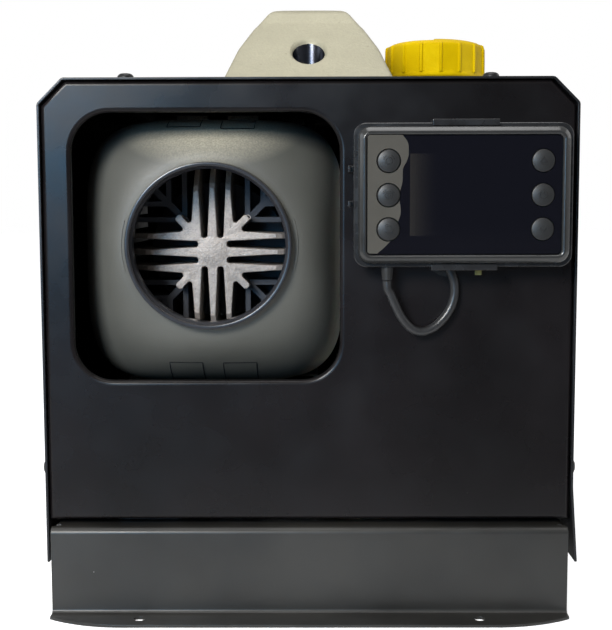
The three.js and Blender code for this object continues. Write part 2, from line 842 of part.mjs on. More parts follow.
// The star of the front face: three parallel fins to each side and four short diagonal bars
function starShape() {
  const far = 2 * finEnvelope;
  const [root, tip] = [finRoot / 2, finTip / 2];
  const side = barWidth / 2;
  const onBar = (along, aside) => [(along - aside) / Math.SQRT2, (along + aside) / Math.SQRT2];
  const corners = quartered([
    [tip, far],
    [tip, finFlatReach],
    [root, hubReach],
    [finPitch - root, hubReach],
    [finPitch - tip, finFlatReach],
    [finPitch - tip, far],
    [finPitch + tip, far],
    [finPitch + tip, finFlatReach],
    [finPitch + root, finPitch + root + side * Math.SQRT2],
    onBar(barReach, side),
  ]);
  const line = [...corners, corners[0]].map(([x, z]) => new THREE.Vector2(unitX + x, unitZ + z));
  return new THREE.Shape(rounded(line, 1.5, 1));
}

function aroundUnit(body, quarter) {
  return body.translate([-unitX, 0, -unitZ]).rotate([0, 90 * quarter, 0]).translate([unitX, 0, unitZ]);
}

// Outer fins, set back behind the star, that branch off the diagonals
function branchFins(front, back) {
  const half = finTip / 2;
  const fins = [];
  for (let k = 2; k * finPitch < finEnvelope - finPitch; k += 1) {
    const start = k * finPitch;
    for (const side of [-1, 1]) {
      const x = unitX + side * start;
      fins.push(block(x - half, x + half, front, back, unitZ + start - half, unitZ + finEnvelope));
    }
  }
  const diagonal = block(-half, half, front, back, coreRadius / 2, 1.5 * finEnvelope)
    .rotate([0, 45, 0]).translate([unitX, 0, unitZ]);
  const quarter = joined([...fins, diagonal]);
  return [0, 1, 2, 3].map((turn) => aroundUnit(quarter, turn));
}

function exchangerBosses() {
  const low = unitZ - finEnvelope;
  const flange = lofted([
    squarish(finEnvelope, finEnvelope, 6, exchangerBack - 10, unitZ, 20),
    squarish(finEnvelope, finEnvelope, 6, exchangerBack, unitZ, 20),
  ]);
  const boss = pipeRadius + 5;
  return [
    flange,
    block(unitX - boss, unitX + boss, exhaustY - boss, exhaustY + boss, low, unitZ - coreRadius + 4),
    turnedZ(bar(plugRadius + 4, unitZ + coreRadius - 3, unitZ + finEnvelope + 1), unitX, plugY, 12),
  ];
}

function heatExchanger() {
  const coreFront = starFront + coreSetBack;
  const deepFront = starFront + deepSetBack;
  const slope = turnedY([
    [0, starFront],
    [finFlatReach, starFront],
    [3 * finEnvelope, starFront + finSlope * (3 * finEnvelope - finFlatReach)],
    [3 * finEnvelope, exchangerBack + 5 * finEnvelope],
    [0, exchangerBack + 5 * finEnvelope],
  ], unitX, unitZ, 12);
  const star = alongY(starShape(), starFront, exchangerBack - 5).intersect(slope);
  const core = turnedY(bar(coreRadius, coreFront, exchangerBack - 1), unitX, unitZ, 20);
  const envelope = lofted([
    squarish(finEnvelope, finEnvelope, 6, starFront - 1, unitZ, 20),
    squarish(finEnvelope, finEnvelope, 6, exchangerBack + 1, unitZ, 20),
  ]);
  const body = joined([star, ...branchFins(deepFront, exchangerBack - 5), core]).intersect(envelope);
  return cut(joined([body, ...exchangerBosses()]), [
    turnedY(bar(exchangerBore, coreFront + exchangerFace, exchangerBack + 1), unitX, unitZ, 16),
    turnedZ(bar(pipeRadius - pipeWall, unitZ - finEnvelope - 1, unitZ - exchangerBore + 2), unitX, exhaustY),
    turnedZ(bar(plugRadius + touch, unitZ, unitZ + 2 * finEnvelope), unitX, plugY, 12),
    turnedZ(bar(9, unitZ + sensorPad, unitZ + 2 * finEnvelope), unitX, sensorY, 12),
  ]);
}

const chamberRadius = 28;
const chamberWall = 1.5;
const chamberFlange = 2;
const chamberRim = 17;
const baffleHole = 9;
const chamberFront = starFront + coreSetBack + exchangerFace + chamberGap;
const burnerGasketThickness = 1.5;
const chamberFlangeFront = exchangerBack + touch;
const burnerGasketFront = chamberFlangeFront + chamberFlange + touch;
const blowerFront = burnerGasketFront + burnerGasketThickness + touch;
const blowerLength = 27.6;
const blowerBack = blowerFront + blowerLength;
const impellerRadius = 38;
const impellerBlades = 10;
const motorPlate = 3;
const motorFront = blowerBack + touch;
const motorRadius = 27;
const motorLength = 47;
const motorBack = motorFront + motorLength;
const shaftRadius = 2.5;
const fanRadius = unitInside - fanTipGap;
const fanHubRadius = 22;
const fanLength = 22;
const fanBlades = 7;
const fanFront = motorBack + runningGap;

// Burner tube with a clamped flange and a baffle with a central hole
function combustionChamber() {
  const [inner, outer] = [chamberRadius - chamberWall, chamberRadius];
  const back = chamberFlangeFront + chamberFlange;
  return turnedY([
    [inner, chamberFront],
    [outer, chamberFront],
    [outer, chamberFlangeFront],
    [outer + chamberRim, chamberFlangeFront],
    [outer + chamberRim, back],
    [baffleHole, back],
    [baffleHole, chamberFlangeFront],
    [inner, chamberFlangeFront],
    [inner, chamberFront],
  ], unitX, unitZ);
}

function glowPlug() {
  const low = unitZ + chamberRadius + 3.5;
  const shoulder = unitZ + finEnvelope + 1 + touch;
  const stem = turnedZ(bar(plugRadius, low, shoulder + 1), unitX, plugY, 12);
  const hexagon = turnedZ(bar(6.5, shoulder, shoulder + 5), unitX, plugY, 6);
  return stem.add(hexagon);
}

function overheatSensor() {
  const seat = unitZ + sensorPad + touch;
  return turnedZ([
    [0, seat],
    [8, seat],
    [8, seat + 2],
    [6, seat + 3],
    [6, seat + 8],
    [0, seat + 9],
  ], unitX, sensorY, 12);
}

function blowerHousing() {
  const outline = (y) => squarish(finEnvelope, finEnvelope, 6, y, unitZ, 20);
  const body = lofted([outline(blowerFront), outline(blowerBack)]);
  return cut(body, [
    turnedY(bar(impellerRadius + 4, blowerFront + 4, blowerBack + 1), unitX, unitZ, 20),
    turnedY(bar(9, blowerFront - 1, blowerFront + 5), unitX, unitZ, 12),
    turnedZ(bar(pipeRadius - pipeWall, unitZ - finEnvelope - 1, unitZ - impellerRadius), unitX, airPipeY, 12),
  ]);
}

function combustionImpeller() {
  const front = blowerFront + 4 + runningGap;
  const back = blowerBack - runningGap;
  const disc = turnedY(bar(impellerRadius, front, front + 2), unitX, unitZ, 20);
  const hub = turnedY(bar(8, front, back), unitX, unitZ, 12);
  const blades = [];
  for (let angle = 0; angle < 360; angle += 360 / impellerBlades) {
    const blade = block(-0.7, 0.7, front + 1, back, 18, impellerRadius - 0.5);
    blades.push(blade.rotate([0, angle, 0]).translate([unitX, 0, unitZ]));
  }
  const bore = turnedY(bar(shaftRadius + touch, front - 1, back + 1), unitX, unitZ, 12);
  return joined([disc, hub, ...blades]).subtract(bore);
}

function motor() {
  const outline = (y) => squarish(finEnvelope, finEnvelope, 6, y, unitZ, 20);
  const plate = lofted([outline(motorFront), outline(motorFront + motorPlate)]);
  const can = turnedY([
    [0, motorFront + 1],
    [motorRadius, motorFront + 1],
    [motorRadius, motorBack - 6],
    [motorRadius - 2, motorBack - 4],
    [9, motorBack - 4],
    [9, motorBack],
    [0, motorBack],
  ], unitX, unitZ, 16);
  const bore = turnedY(bar(shaftRadius + touch, motorFront - 1, motorBack + 1), unitX, unitZ, 10);
  return plate.add(can).subtract(bore);
}

// One blade of the main fan: a plate that flattens out towards its tip
function fanBlade(angle) {
  const middle = fanFront + fanLength / 2;
  const outlines = [];
  for (let step = 0; step <= 2; step += 1) {
    const radius = fanHubRadius - 2 + (fanRadius - fanHubRadius + 2) * step / 2;
    const pitch = THREE.MathUtils.degToRad(38 + 22 * step / 2);
    const along = new THREE.Vector3(Math.sin(pitch), Math.cos(pitch), 0);
    const across = new THREE.Vector3(Math.cos(pitch), -Math.sin(pitch), 0);
    const centre = new THREE.Vector3(0, middle, radius);
    outlines.push([[-11, -0.8], [11, -0.8], [11, 0.8], [-11, 0.8]].map(([chord, skin]) => (
      centre.clone().addScaledVector(along, chord).addScaledVector(across, skin))));
  }
  return lofted(outlines).rotate([0, angle, 0]).translate([unitX, 0, unitZ]);
}

function mainFan() {
  const back = fanFront + fanLength;
  const cup = turnedY([
    [0, back - 3],
    [fanHubRadius - 2.5, back - 3],
    [fanHubRadius - 2.5, fanFront],
    [fanHubRadius, fanFront],
    [fanHubRadius, back - 3],
    [fanHubRadius - 3, back],
    [0, back],
  ], unitX, unitZ, 21);
  const sleeve = turnedY(bar(6, fanFront + 6, back - 1), unitX, unitZ, 10);
  const blades = [];
  for (let angle = 0; angle < 360; angle += 360 / fanBlades) blades.push(fanBlade(angle));
  const bore = turnedY(bar(shaftRadius + touch, fanFront - 1, back + 1), unitX, unitZ, 12);
  const trimmed = joined(blades).subtract(turnedY(bar(fanHubRadius - 1.5, fanFront - 9, back - 2), unitX, unitZ, 21));
  return joined([cup, sleeve, trimmed]).subtract(bore);
}

function motorShaft() {
  const front = blowerFront + 5;
  return turnedY(bar(shaftRadius, front, fanFront + fanLength + 3), unitX, unitZ, 12);
}

// Sleeve from the burner or the blower down through the base
function unitPipe(y) {
  const top = unitZ - finEnvelope - touch;
  const [inner, outer] = [pipeRadius - pipeWall, pipeRadius];
  return turnedZ([
    [inner, pipeBottom],
    [outer, pipeBottom],
    [outer, top - 3],
    [outer + 4, top - 3],
    [outer + 4, top],
    [inner, top],
    [inner, pipeBottom],
  ], unitX, y, 14);
}

// Rear hood: the outlet hood's shape turned round, with a guard over the fan
function intakeHood() {
  const guardSteps = 20;
  const front = shellBack + touch;
  const skin = (inset, start, end, rows) => {
    const collar = intakeCollar - inset;
    const outlines = [squarish(unitWidth / 2 - inset, unitHeight / 2 - inset, 4.4, start, unitZ, guardSteps)];
    for (let row = 0; row <= rows; row += 1) {
      const angle = Math.PI / 2 * (1 - row / rows);
      const spread = Math.sin(angle);
      outlines.push(squarish(
        collar + (unitWidth / 2 - inset - collar) * spread,
        collar + (unitHeight / 2 - inset - collar) * spread,
        2 + 2.4 * spread ** 2,
        intakeBack - 8 - inset - 34 * (1 - Math.cos(angle)),
        unitZ,
        guardSteps,
      ));
    }
    outlines.push(squarish(collar, collar, 2, end, unitZ, guardSteps));
    return lofted(outlines);
  };
  const shell = skin(0, front, intakeBack, 3).subtract(skin(hoodWall, front - 1, intakeBack + 1, 2));
  const guard = [];
  const guardFront = intakeBack - 4;
  for (const radius of [12, 30]) {
    guard.push(turnedY(ring(radius - 1, radius + 1, guardFront, intakeBack - 1), unitX, unitZ, 18));
  }
  for (let angle = 0; angle < 360; angle += 60) {
    const spoke = block(-1.2, 1.2, guardFront + 0.5, intakeBack - 1.5, 11.5, intakeCollar - 1);
    guard.push(spoke.rotate([0, angle, 0]).translate([unitX, 0, unitZ]));
  }
  return joined([shell, ...guard]);
}

// Circuit board beside the motor, its edge against the motor's plate
function controlBoard() {
  const y = motorFront + motorPlate + touch;
  const x = unitX + motorRadius + 17;
  return joined([
    block(x, x + 1.8, y, y + 42, unitZ - 32, unitZ + 32),
    block(x - 9, x + 1, y + 6, y + 20, unitZ - 26, unitZ - 10),
    block(x - 7, x + 1, y + 24, y + 38, unitZ - 24, unitZ - 6),
    block(x + 1, x + 8, y + 8, y + 34, unitZ - 20, unitZ - 6),
    block(x + 1, x + 6, y + 10, y + 20, unitZ + 8, unitZ + 26),
  ]);
}

piece('heat_exchanger', heatExchanger(), { ...cast, color: 0xaaa0a0 });
piece('combustion_chamber', combustionChamber(), steel);
piece('burner_gasket', turnedY(ring(
  chamberRadius, chamberRadius + chamberRim, burnerGasketFront, burnerGasketFront + burnerGasketThickness,
), unitX, unitZ), { color: 0x6b6b66, roughness: 0.9, metalness: 0 });
piece('glow_plug', glowPlug(), steel);
piece('overheat_sensor', overheatSensor(), mouldedBlack);
piece('blower_housing', blowerHousing(), cast);
piece('combustion_impeller', combustionImpeller(), mouldedBlack);
piece('blower_motor', motor(), steel);
piece('motor_shaft', motorShaft(), zinc);
piece('main_fan', mainFan(), mouldedBlack);
piece('intake_hood', intakeHood(), mouldedBlack);
piece('control_board', controlBoard(), boardGreen);
piece('exhaust_pipe', unitPipe(exhaustY), steel);
piece('air_intake_pipe', unitPipe(airPipeY), steel);

// ---------- fuel tank and cap ----------

const tankX = (tankLeft + tankRight) / 2;
const tankY = (tankFront + tankBack) / 2;
const tankBottom = deckHeight + touch;
const barbRadius = 2.6;
const hoseStart = 12;

// Corner points of a rounded rectangle seen from above
function roundedPlan(width, depth, radius, z, steps = 3) {
  const points = [];
  for (const [quarter, sx, sy] of [[0, 1, 1], [1, -1, 1], [2, -1, -1], [3, 1, -1]]) {
    for (let step = 0; step <= steps; step += 1) {
      const angle = Math.PI / 2 * (quarter + step / steps);
      points.push(new THREE.Vector3(
        tankX + sx * (width / 2 - radius) + radius * Math.cos(angle),
        tankY + sy * (depth / 2 - radius) + radius * Math.sin(angle),
        z,
      ));
    }
  }
  return points;
}

function tankSkin(inset) {
  const [width, depth] = [tankRight - tankLeft - 2 * inset, tankBack - tankFront - 2 * inset];
  const [low, high] = [tankBottom + inset, tankTop - inset];
  const rows = [[4, 0], [0, 4]];
  const up = rows.map(([inward, rise]) => [inward, low + rise]);
  const down = rows.map(([inward, rise]) => [inward, high - rise]).reverse();
  return lofted([...up, ...down].map(([inward, z]) => (
    roundedPlan(width - 2 * inward, depth - 2 * inward, tankRadius - inset, z))));
}

function fuelTank() {
  const neck = turnedZ(bar(neckRadius, tankTop - 2, neckTop), neckX, neckY, neckSides);
  return cut(joined([tankSkin(0), neck]), [
    tankSkin(tankWall),
    turnedZ(bar(neckRadius - neckWall, tankTop - 10, neckTop + 1), neckX, neckY, neckSides),
    turnedX(bar(4, tankLeft - 2, tankLeft + 6), fittingY, fuelZ, 10),
  ]);
}

// Rubber ring that seals the neck in the cover
function tankGrommet() {
  const [inner, groove, lip] = [neckRadius + touch, neckRadius + grommetWall, neckRadius + grommetWall + 3];
  const under = caseHeight - coverSheet - touch;
  const over = caseHeight + touch;
  return turnedZ([
    [inner, under - 2],
    [lip, under - 2],
    [lip, under],
    [groove, under],
    [groove, over],
    [lip, over],
    [lip - 0.6, over + 2],
    [inner, over + 2],
    [inner, under - 2],
  ], neckX, neckY, neckSides);
}

const capGasketThickness = 2;
const roof = neckTop + capGasketThickness + 2 * touch;
const capTop = roof + capRoof;

function capGasket() {
  const seat = neckTop + touch;
  return turnedZ(ring(neckRadius - neckWall - 2, neckRadius, seat, seat + capGasketThickness), neckX, neckY, neckSides);
}

// Screw cap with lobed grips
function fuelCap() {
  const bottom = capTop - capHeight;
  const outline = [];
  const steps = 4 * capLobes;
  for (let i = 0; i < steps; i += 1) {
    const angle = 2 * Math.PI * i / steps;
    const radius = capRadius - capLobeDepth * Math.abs(Math.sin(capLobes * angle / 2)) ** 4;
    outline.push(new THREE.Vector2(neckX + radius * Math.cos(angle), neckY + radius * Math.sin(angle)));
  }
  const lobed = alongZ(new THREE.Shape(outline), bottom, capTop);
  const domed = turnedZ([
    [0, bottom - 1],
    [capRadius + 1, bottom - 1],
    [capRadius + 1, capTop - 4],
    [capRadius - 1.5, capTop - 1.6],
    [capRadius - 6, capTop - 0.6],
    [0, capTop],
  ], neckX, neckY, 24);
  return lobed.intersect(domed).subtract(turnedZ(bar(neckRadius + capThreadGap, bottom - 1, roof), neckX, neckY, neckSides));
}

const strapWidth = 20;

// Steel band over the tank, its left end footed on the deck
function tankStrap(y) {
  const [left, right] = [tankLeft - touch - strapSheet / 2, tankRight + touch + strapSheet / 2];
  const low = deckHeight + touch;
  const high = tankTop + touch + strapSheet / 2;
  return alongY(foldedSheet([
    [left - strapFoot, low + strapSheet / 2],
    [left, low + strapSheet / 2],
    [left, high],
    [right, high],
    [right, low],
  ], strapSheet, 1.5), y - strapWidth / 2, y + strapWidth / 2);
}

function tankFitting() {
  return joined([
    turnedX(bar(7, tankLeft - 3.3, tankLeft - touch), fittingY, fuelZ, 6),
    turnedX(bar(3.5, fuelX - 4, tankLeft + 5), fittingY, fuelZ, 10),
    turnedY(bar(barbRadius, fittingY, fittingY + hoseStart), fuelX, fuelZ, 10),
  ]);
}

const filterRadius = 7.5;

function fuelFilter() {
  return turnedY([
    [0, filterFront],
    [barbRadius, filterFront],
    [barbRadius, filterFront + 4],
    [filterRadius - 2, filterFront + 4],
    [filterRadius, filterFront + 8],
    [filterRadius, filterBack - 8],
    [filterRadius - 2, filterBack - 4],
    [barbRadius, filterBack - 4],
    [barbRadius, filterBack],
    [0, filterBack],
  ], fuelX, fuelZ, 10);
}

const pumpRadius = 12.5;
const clampSheet = 1.5;
const pumpSideGap = 19.1;         // from the stand's right leg
const pumpX = unitX + standHalfWidth - pumpSideGap;
const pumpZ = deckHeight + touch + 2 * clampSheet + touch + pumpRadius;
const pumpFront = -88;
const pumpLength = 110;
const pumpBack = pumpFront + pumpLength;

// Metering pump with a nipple at each end and its plug socket over the rear one
function fuelPump() {
  const body = turnedY([
    [0, pumpFront],
    [barbRadius, pumpFront],
    [barbRadius, pumpFront + 12],
    [9, pumpFront + 12],
    [9, pumpFront + 18],
    [pumpRadius, pumpFront + 19],
    [pumpRadius, pumpBack - 17],
    [9, pumpBack - 16],
    [9, pumpBack - 10],
    [barbRadius, pumpBack - 10],
    [barbRadius, pumpBack],
    [0, pumpBack],
  ], pumpX, pumpZ, 12);
  return body.add(block(pumpX - 5, pumpX + 5, pumpBack - 16, pumpBack - 2, pumpZ + 4, pumpZ + 10));
}

// Rubber-lined clamp that holds the pump over the deck
function pumpBracket() {
  const [front, back] = [-pumpRadius, pumpRadius].map((run) => pumpFront + pumpLength / 2 + run);
  const foot = deckHeight + touch;
  const inner = pumpRadius + touch;
  return joined([
    turnedY(ring(inner, inner + clampSheet, front, back), pumpX, pumpZ, 16),
    block(pumpX - inner, pumpX + inner, front, back, foot, pumpZ - pumpRadius - 2 * touch),
  ]);
}

const hoseRadius = 2.5;

function pumpInletHose() {
  return tubeAlong([
    [fuelX, filterBack + touch, fuelZ],
    [fuelX, filterBack + hoseSwing / 2, fuelZ],
    [fuelX - 1.5, filterBack + hoseSwing, fuelZ + 0.5],
    [fuelX - 8, filterBack + 31, fuelZ],
    [fuelX - 16, filterBack + 34, fuelZ - 1],
    [fuelX - 24, filterBack + 30, fuelZ - 2],
    [pumpX, pumpBack + 11, pumpZ],
    [pumpX, pumpBack + touch, pumpZ],
  ], hoseRadius, 6, 14);
}

// From the pump's front nipple, round in a loop and back under the stand's top to the burner
function burnerHose() {
  const across = fuelInlet.x - pumpX;
  const under = shelfTop - standSheet - 5 * hoseRadius;
  const up = under - pumpZ;
  return tubeAlong([
    [pumpX, pumpFront - touch, pumpZ],
    [pumpX, pumpFront - 8, pumpZ],
    [pumpX + 0.15 * across, pumpFront - 15, pumpZ + 0.15 * up],
    [pumpX + 0.5 * across, pumpFront - 19, pumpZ + 0.5 * up],
    [pumpX + 0.85 * across, pumpFront - 15, pumpZ + 0.85 * up],
    [fuelInlet.x, pumpFront - 6, under],
    [fuelInlet.x, pumpFront + 40, under],
    [fuelInlet.x, fuelInlet.y - 13, under],
    [fuelInlet.x, fuelInlet.y - 3.5, under + 3.5],
    [fuelInlet.x, fuelInlet.y, under + 10],
    [fuelInlet.x, fuelInlet.y, under + 16],
    [fuelInlet.x, fuelInlet.y, unitZ - finEnvelope - touch],
  ], fuelInlet.radius, 6, 16);
}

piece('fuel_tank', fuelTank(), polythene);
piece('tank_grommet', tankGrommet(), rubber);
piece('cap_gasket', capGasket(), rubber);
piece('fuel_cap', fuelCap(), yellow);
piece('tank_strap_front', tankStrap(tankFront + 1.25 * strapWidth), steel);
piece('tank_strap_rear', tankStrap(tankBack - 2.5 * strapWidth), steel);
piece('tank_outlet_fitting', tankFitting(), copper);
piece('fuel_hose_tank', turnedY(bar(hoseRadius, fittingY + hoseStart + touch, filterFront - touch), fuelX, fuelZ, 10), rubber);
piece('fuel_filter', fuelFilter(), polythene);
piece('fuel_hose_filter', pumpInletHose(), rubber);
piece('fuel_pump', fuelPump(), zinc);
piece('pump_bracket', pumpBracket(), rubber);
piece('fuel_hose_burner', burnerHose(), rubber);

// ---------- controller ----------

const holderBack = -panelFace - touch - holderStandoff;
const holderFront = holderBack - holderPlate;
const shellRear = holderFront - touch;
const shellFrontEdge = shellRear - backDepth;
const bezelRear = shellFrontEdge - touch;
const bezelFront = bezelRear - bezelDepth;
const glassFront = bezelFront + 0.4;
const glassRear = glassFront + glassSheet;
const boardFront = shellFrontEdge + 2;
const boardSheet = 1.6;
const backWall = 1.6;
const holderWidth = 86;
const holderHeight = 48;
const tongueWidth = 31.5;
const tongueOffset = { top: 3, bottom: 1.5 };
const tongueProud = 1.6;
const bootX = panelCentreX - backWidth / 2 + 17.2;
const bootTop = panelCentreZ - backHeight / 2 + 3;
const bootLength = 9;
const bootTopRadius = 2.9;
const cableExitY = (shellRear + shellFrontEdge) / 2;

// Points of a rounded rectangle that faces the front, round the controller's centre
function frontOutline(width, height, radius, y, steps = 3) {
  const points = [];
  for (const [quarter, sx, sz] of [[0, 1, 1], [1, -1, 1], [2, -1, -1], [3, 1, -1]]) {
    for (let step = 0; step <= steps; step += 1) {
      const angle = Math.PI / 2 * (quarter + step / steps);
      points.push(new THREE.Vector3(
        panelCentreX + sx * (width / 2 - radius) + radius * Math.cos(angle),
        y,
        panelCentreZ + sz * (height / 2 - radius) + radius * Math.sin(angle),
      ));
    }
  }
  return points;
}

function frontSlab(width, height, radius, y0, y1) {
  return lofted([frontOutline(width, height, radius, y0), frontOutline(width, height, radius, y1)]);
}

// Wall plate on two rails, with a tongue over and one under the controller and two lugs at its left
function controllerHolder() {
  const rails = [-1, 1].map((side) => block(
    panelCentreX + side * 24 - 5,
    panelCentreX + side * 24 + 5,
    holderBack - 0.5,
    -panelFace - touch,
    panelCentreZ - holderHeight / 2 + 12,
    panelCentreZ + holderHeight / 2,
  ));
  const tongues = [[1, tongueOffset.top], [-1, tongueOffset.bottom]].flatMap(([side, offset]) => {
    const [left, right] = [panelCentreX - tongueWidth / 2 + offset, panelCentreX + tongueWidth / 2 + offset];
    const inner = panelCentreZ + side * (backHeight / 2 + touch);
    const outer = inner + side * tongueProud;
    const root = panelCentreZ + side * (holderHeight / 2 - 2);
    return [
      block(left, right, holderFront, holderBack, Math.min(root, outer), Math.max(root, outer)),
      block(left, right, shellFrontEdge, holderBack, Math.min(inner, outer), Math.max(inner, outer)),
    ];
  });
  const lugs = [12.2, -4.5].flatMap((rise) => {
    const edge = panelCentreX - backWidth / 2;
    const z = panelCentreZ + rise;
    return [
      block(edge - 1.5, panelCentreX - holderWidth / 2 + 2, holderFront, holderBack, z - 2, z + 2),
      block(edge - 1.5, edge - touch, shellFrontEdge + 3, holderBack, z - 2, z + 2),
    ];
  });
  return joined([frontSlab(holderWidth, holderHeight, 4, holderFront, holderBack), ...rails, ...tongues, ...lugs]);
}

function controllerBack() {
  const shape = (inset) => [
    frontOutline(backWidth - 4 - 2 * inset, backHeight - 4 - 2 * inset, 5 - inset, shellRear - inset),
    frontOutline(backWidth - 2 * inset, backHeight - 2 * inset, 6 - inset, shellRear - 2.4 - inset / 2),
    frontOutline(backWidth - 1 - 2 * inset, backHeight - 1 - 2 * inset, 6 - inset, shellFrontEdge - inset),
  ];
  const posts = [-1, 1].flatMap((sx) => [-1, 1].map((sz) => turnedY(
    bar(2.5, boardFront + boardSheet + touch, shellRear - backWall / 2),
    panelCentreX + sx * (backWidth / 2 - 8.5), panelCentreZ + sz * (backHeight / 2 - 8.75), 8)));
  const shell = lofted(shape(0)).subtract(lofted(shape(backWall)));
  const exit = turnedZ(bar(bootTopRadius + touch, bootTop - 8, bootTop + 4), bootX, cableExitY, 12);
  return cut(joined([shell, ...posts]), [exit]);
}

function controllerBezel() {
  const radius = 5;
  const frame = lofted([
    frontOutline(bezelWidth + 3, bezelHeight + 3, radius + 1, bezelRear),
    frontOutline(bezelWidth, bezelHeight, radius, bezelFront + 1),
    frontOutline(bezelWidth - 1.6, bezelHeight - 1.6, radius - 0.8, bezelFront),
  ]);
  const seat = glassRear + touch;
  const recess = [glassWidth + 2 * touch, glassHeight + 2 * touch];
  return cut(frame, [
    frontSlab(...recess, 2.5, bezelFront - 1, seat),
    frontSlab(glassWidth - 4, glassHeight - 4, 2, bezelFront - 1, bezelRear + 1),
  ]);
}

function buttonPlaces() {
  const places = [];
  for (const [side, offset] of Object.entries(buttonColumns)) {
    ['upper', 'middle', 'lower'].forEach((row, i) => {
      places.push({ name: `button_${side}_${row}`, x: panelCentreX + offset, z: panelCentreZ + (1 - i) * buttonPitch });
    });
  }
  return places;
}

function controllerGlass() {
  const holes = buttonPlaces().map(({ x, z }) => (
    turnedY(bar(buttonRadius + touch, glassFront - 1, glassRear + 1), x, z, 10)));
  return cut(frontSlab(glassWidth, glassHeight, 2.2, glassFront, glassRear), holes);
}

// Domed cap on a plain stem that presses the board's switch
function button(x, z) {
  const back = boardFront - buttonTravel - touch;
  const edge = glassFront - 0.3;
  const apex = glassFront - buttonProud;
  return turnedY([
    [0, back],
    [buttonRadius, back],
    [buttonRadius, edge],
    [buttonRadius - 0.7, edge - 0.6],
    [buttonRadius / 2, apex + 0.1],
    [0, apex],
  ], x, z, 10);
}

// Circuit board with the display stack between the two columns of buttons
function controllerBoard() {
  const board = frontSlab(backWidth - 8, backHeight - 8, 3, boardFront, boardFront + boardSheet);
  const display = block(
    panelCentreX + buttonColumns.left + 8.4, panelCentreX + buttonColumns.right - 9.4,
    glassRear + touch, boardFront + 0.5, panelCentreZ - 22, panelCentreZ + 22);
  const connector = block(bootX - 4, bootX + 4, boardFront + 1, boardFront + 3.2, panelCentreZ - 26, panelCentreZ - 18);
  return joined([board, display, connector]);
}

function cableBoot() {
  return turnedZ([
    [0, bootTop - bootLength],
    [cableRadius + 0.4, bootTop - bootLength],
    [bootTopRadius, bootTop - 4],
    [bootTopRadius, bootTop],
    [0, bootTop],
  ], bootX, cableExitY, 12);
}

// The cable's route: out of the boot, down, round a loose loop and up behind the controller.
// The loop's points are measured from the hole that it goes into.
const cableEnd = bootTop - bootLength - touch;
const cableLoop = [
  [-27.6, -10.9, -16],
  [-25.6, -10.5, -20.8],
  [-21.8, -8.5, -28],
  [-17.2, -6.7, -33.1],
  [-12.4, -5.5, -34.8],
  [-6.8, -4.7, -33.2],
  [-1.8, -4.1, -29],
  [2, -3.7, -23.4],
  [3.9, -3.4, -17],
  [3.7, -3.3, -11],
  [2.2, -3.2, -6.5],
  [0.8, -2.5, -3.4],
  [0.1, -0.1, -0.4],
  [-0.1, 3.2, 1.2],
  [-0.1, 7.5, 1.6],
];
const cableRoute = [
  [bootX, cableExitY, cableEnd],
  [bootX + 0.3, cableExitY, cableEnd - 4],
  ...cableLoop.map(([x, y, z]) => [cableHole.x + x, y - panelFace, cableHole.z + z]),
];

function panelGrommet() {
  const front = -panelFace - touch;
  const back = -panelFace + panelSheet + touch;
  const [inner, groove, lip] = [cableHole.radius - 1.3, cableHole.radius - touch, cableHole.radius + 1.3];
  return turnedY([
    [inner, front - 0.8],
    [lip, front - 0.8],
    [lip, front],
    [groove, front],
    [groove, back],
    [lip, back],
    [lip, back + 1],
    [inner, back + 1],
    [inner, front - 0.8],
  ], cableHole.x, cableHole.z, 16);
}

// Screwed gland in the rear panel for the power lead
function powerGland() {
  const outside = panelFace + touch;
  const inside = panelFace - panelSheet - touch;
  return turnedY([
    [4, inside - 5],
    [12, inside - 5],
    [12, inside],
    [powerHole.radius - touch, inside],
    [powerHole.radius - touch, outside],
    [12, outside],
    [12, outside + 3],
    [8, outside + 9],
    [4, outside + 9],
    [4, inside - 5],
  ], powerHole.x, powerHole.z, 14);
}

piece('controller_holder', controllerHolder(), mouldedBlack);
piece('controller_back', controllerBack(), mouldedBlack);
piece('controller_bezel', controllerBezel(), mouldedBlack);
piece('controller_glass', controllerGlass(), darkGlass);
piece('controller_board', controllerBoard(), boardGreen);
for (const { name, x, z } of buttonPlaces()) piece(name, button(x, z), mouldedBlack);
piece('cable_boot', cableBoot(), rubber);
piece('controller_cable', tubeAlong(cableRoute, cableRadius, 8, 24), rubber);
piece('panel_grommet', panelGrommet(), rubber);
piece('power_gland', powerGland(), mouldedBlack);

export default heater;
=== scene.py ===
import math

import bpy
import bmesh
from mathutils import Matrix, Vector
from mathutils.bvhtree import BVHTree


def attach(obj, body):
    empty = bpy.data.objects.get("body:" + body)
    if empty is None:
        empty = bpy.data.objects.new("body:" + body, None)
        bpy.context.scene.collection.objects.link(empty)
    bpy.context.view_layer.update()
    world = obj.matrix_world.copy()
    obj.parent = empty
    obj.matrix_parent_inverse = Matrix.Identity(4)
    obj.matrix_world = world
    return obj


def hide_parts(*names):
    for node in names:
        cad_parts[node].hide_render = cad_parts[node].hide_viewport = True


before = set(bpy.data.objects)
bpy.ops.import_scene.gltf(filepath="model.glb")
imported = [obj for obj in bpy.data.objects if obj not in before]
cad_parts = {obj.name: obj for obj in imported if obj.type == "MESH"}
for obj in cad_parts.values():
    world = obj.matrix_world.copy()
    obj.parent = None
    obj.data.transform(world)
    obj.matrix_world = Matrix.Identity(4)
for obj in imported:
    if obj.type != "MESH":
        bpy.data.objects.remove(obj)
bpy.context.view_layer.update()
mm = 0.001  # every size below is in millimetres and is multiplied by this

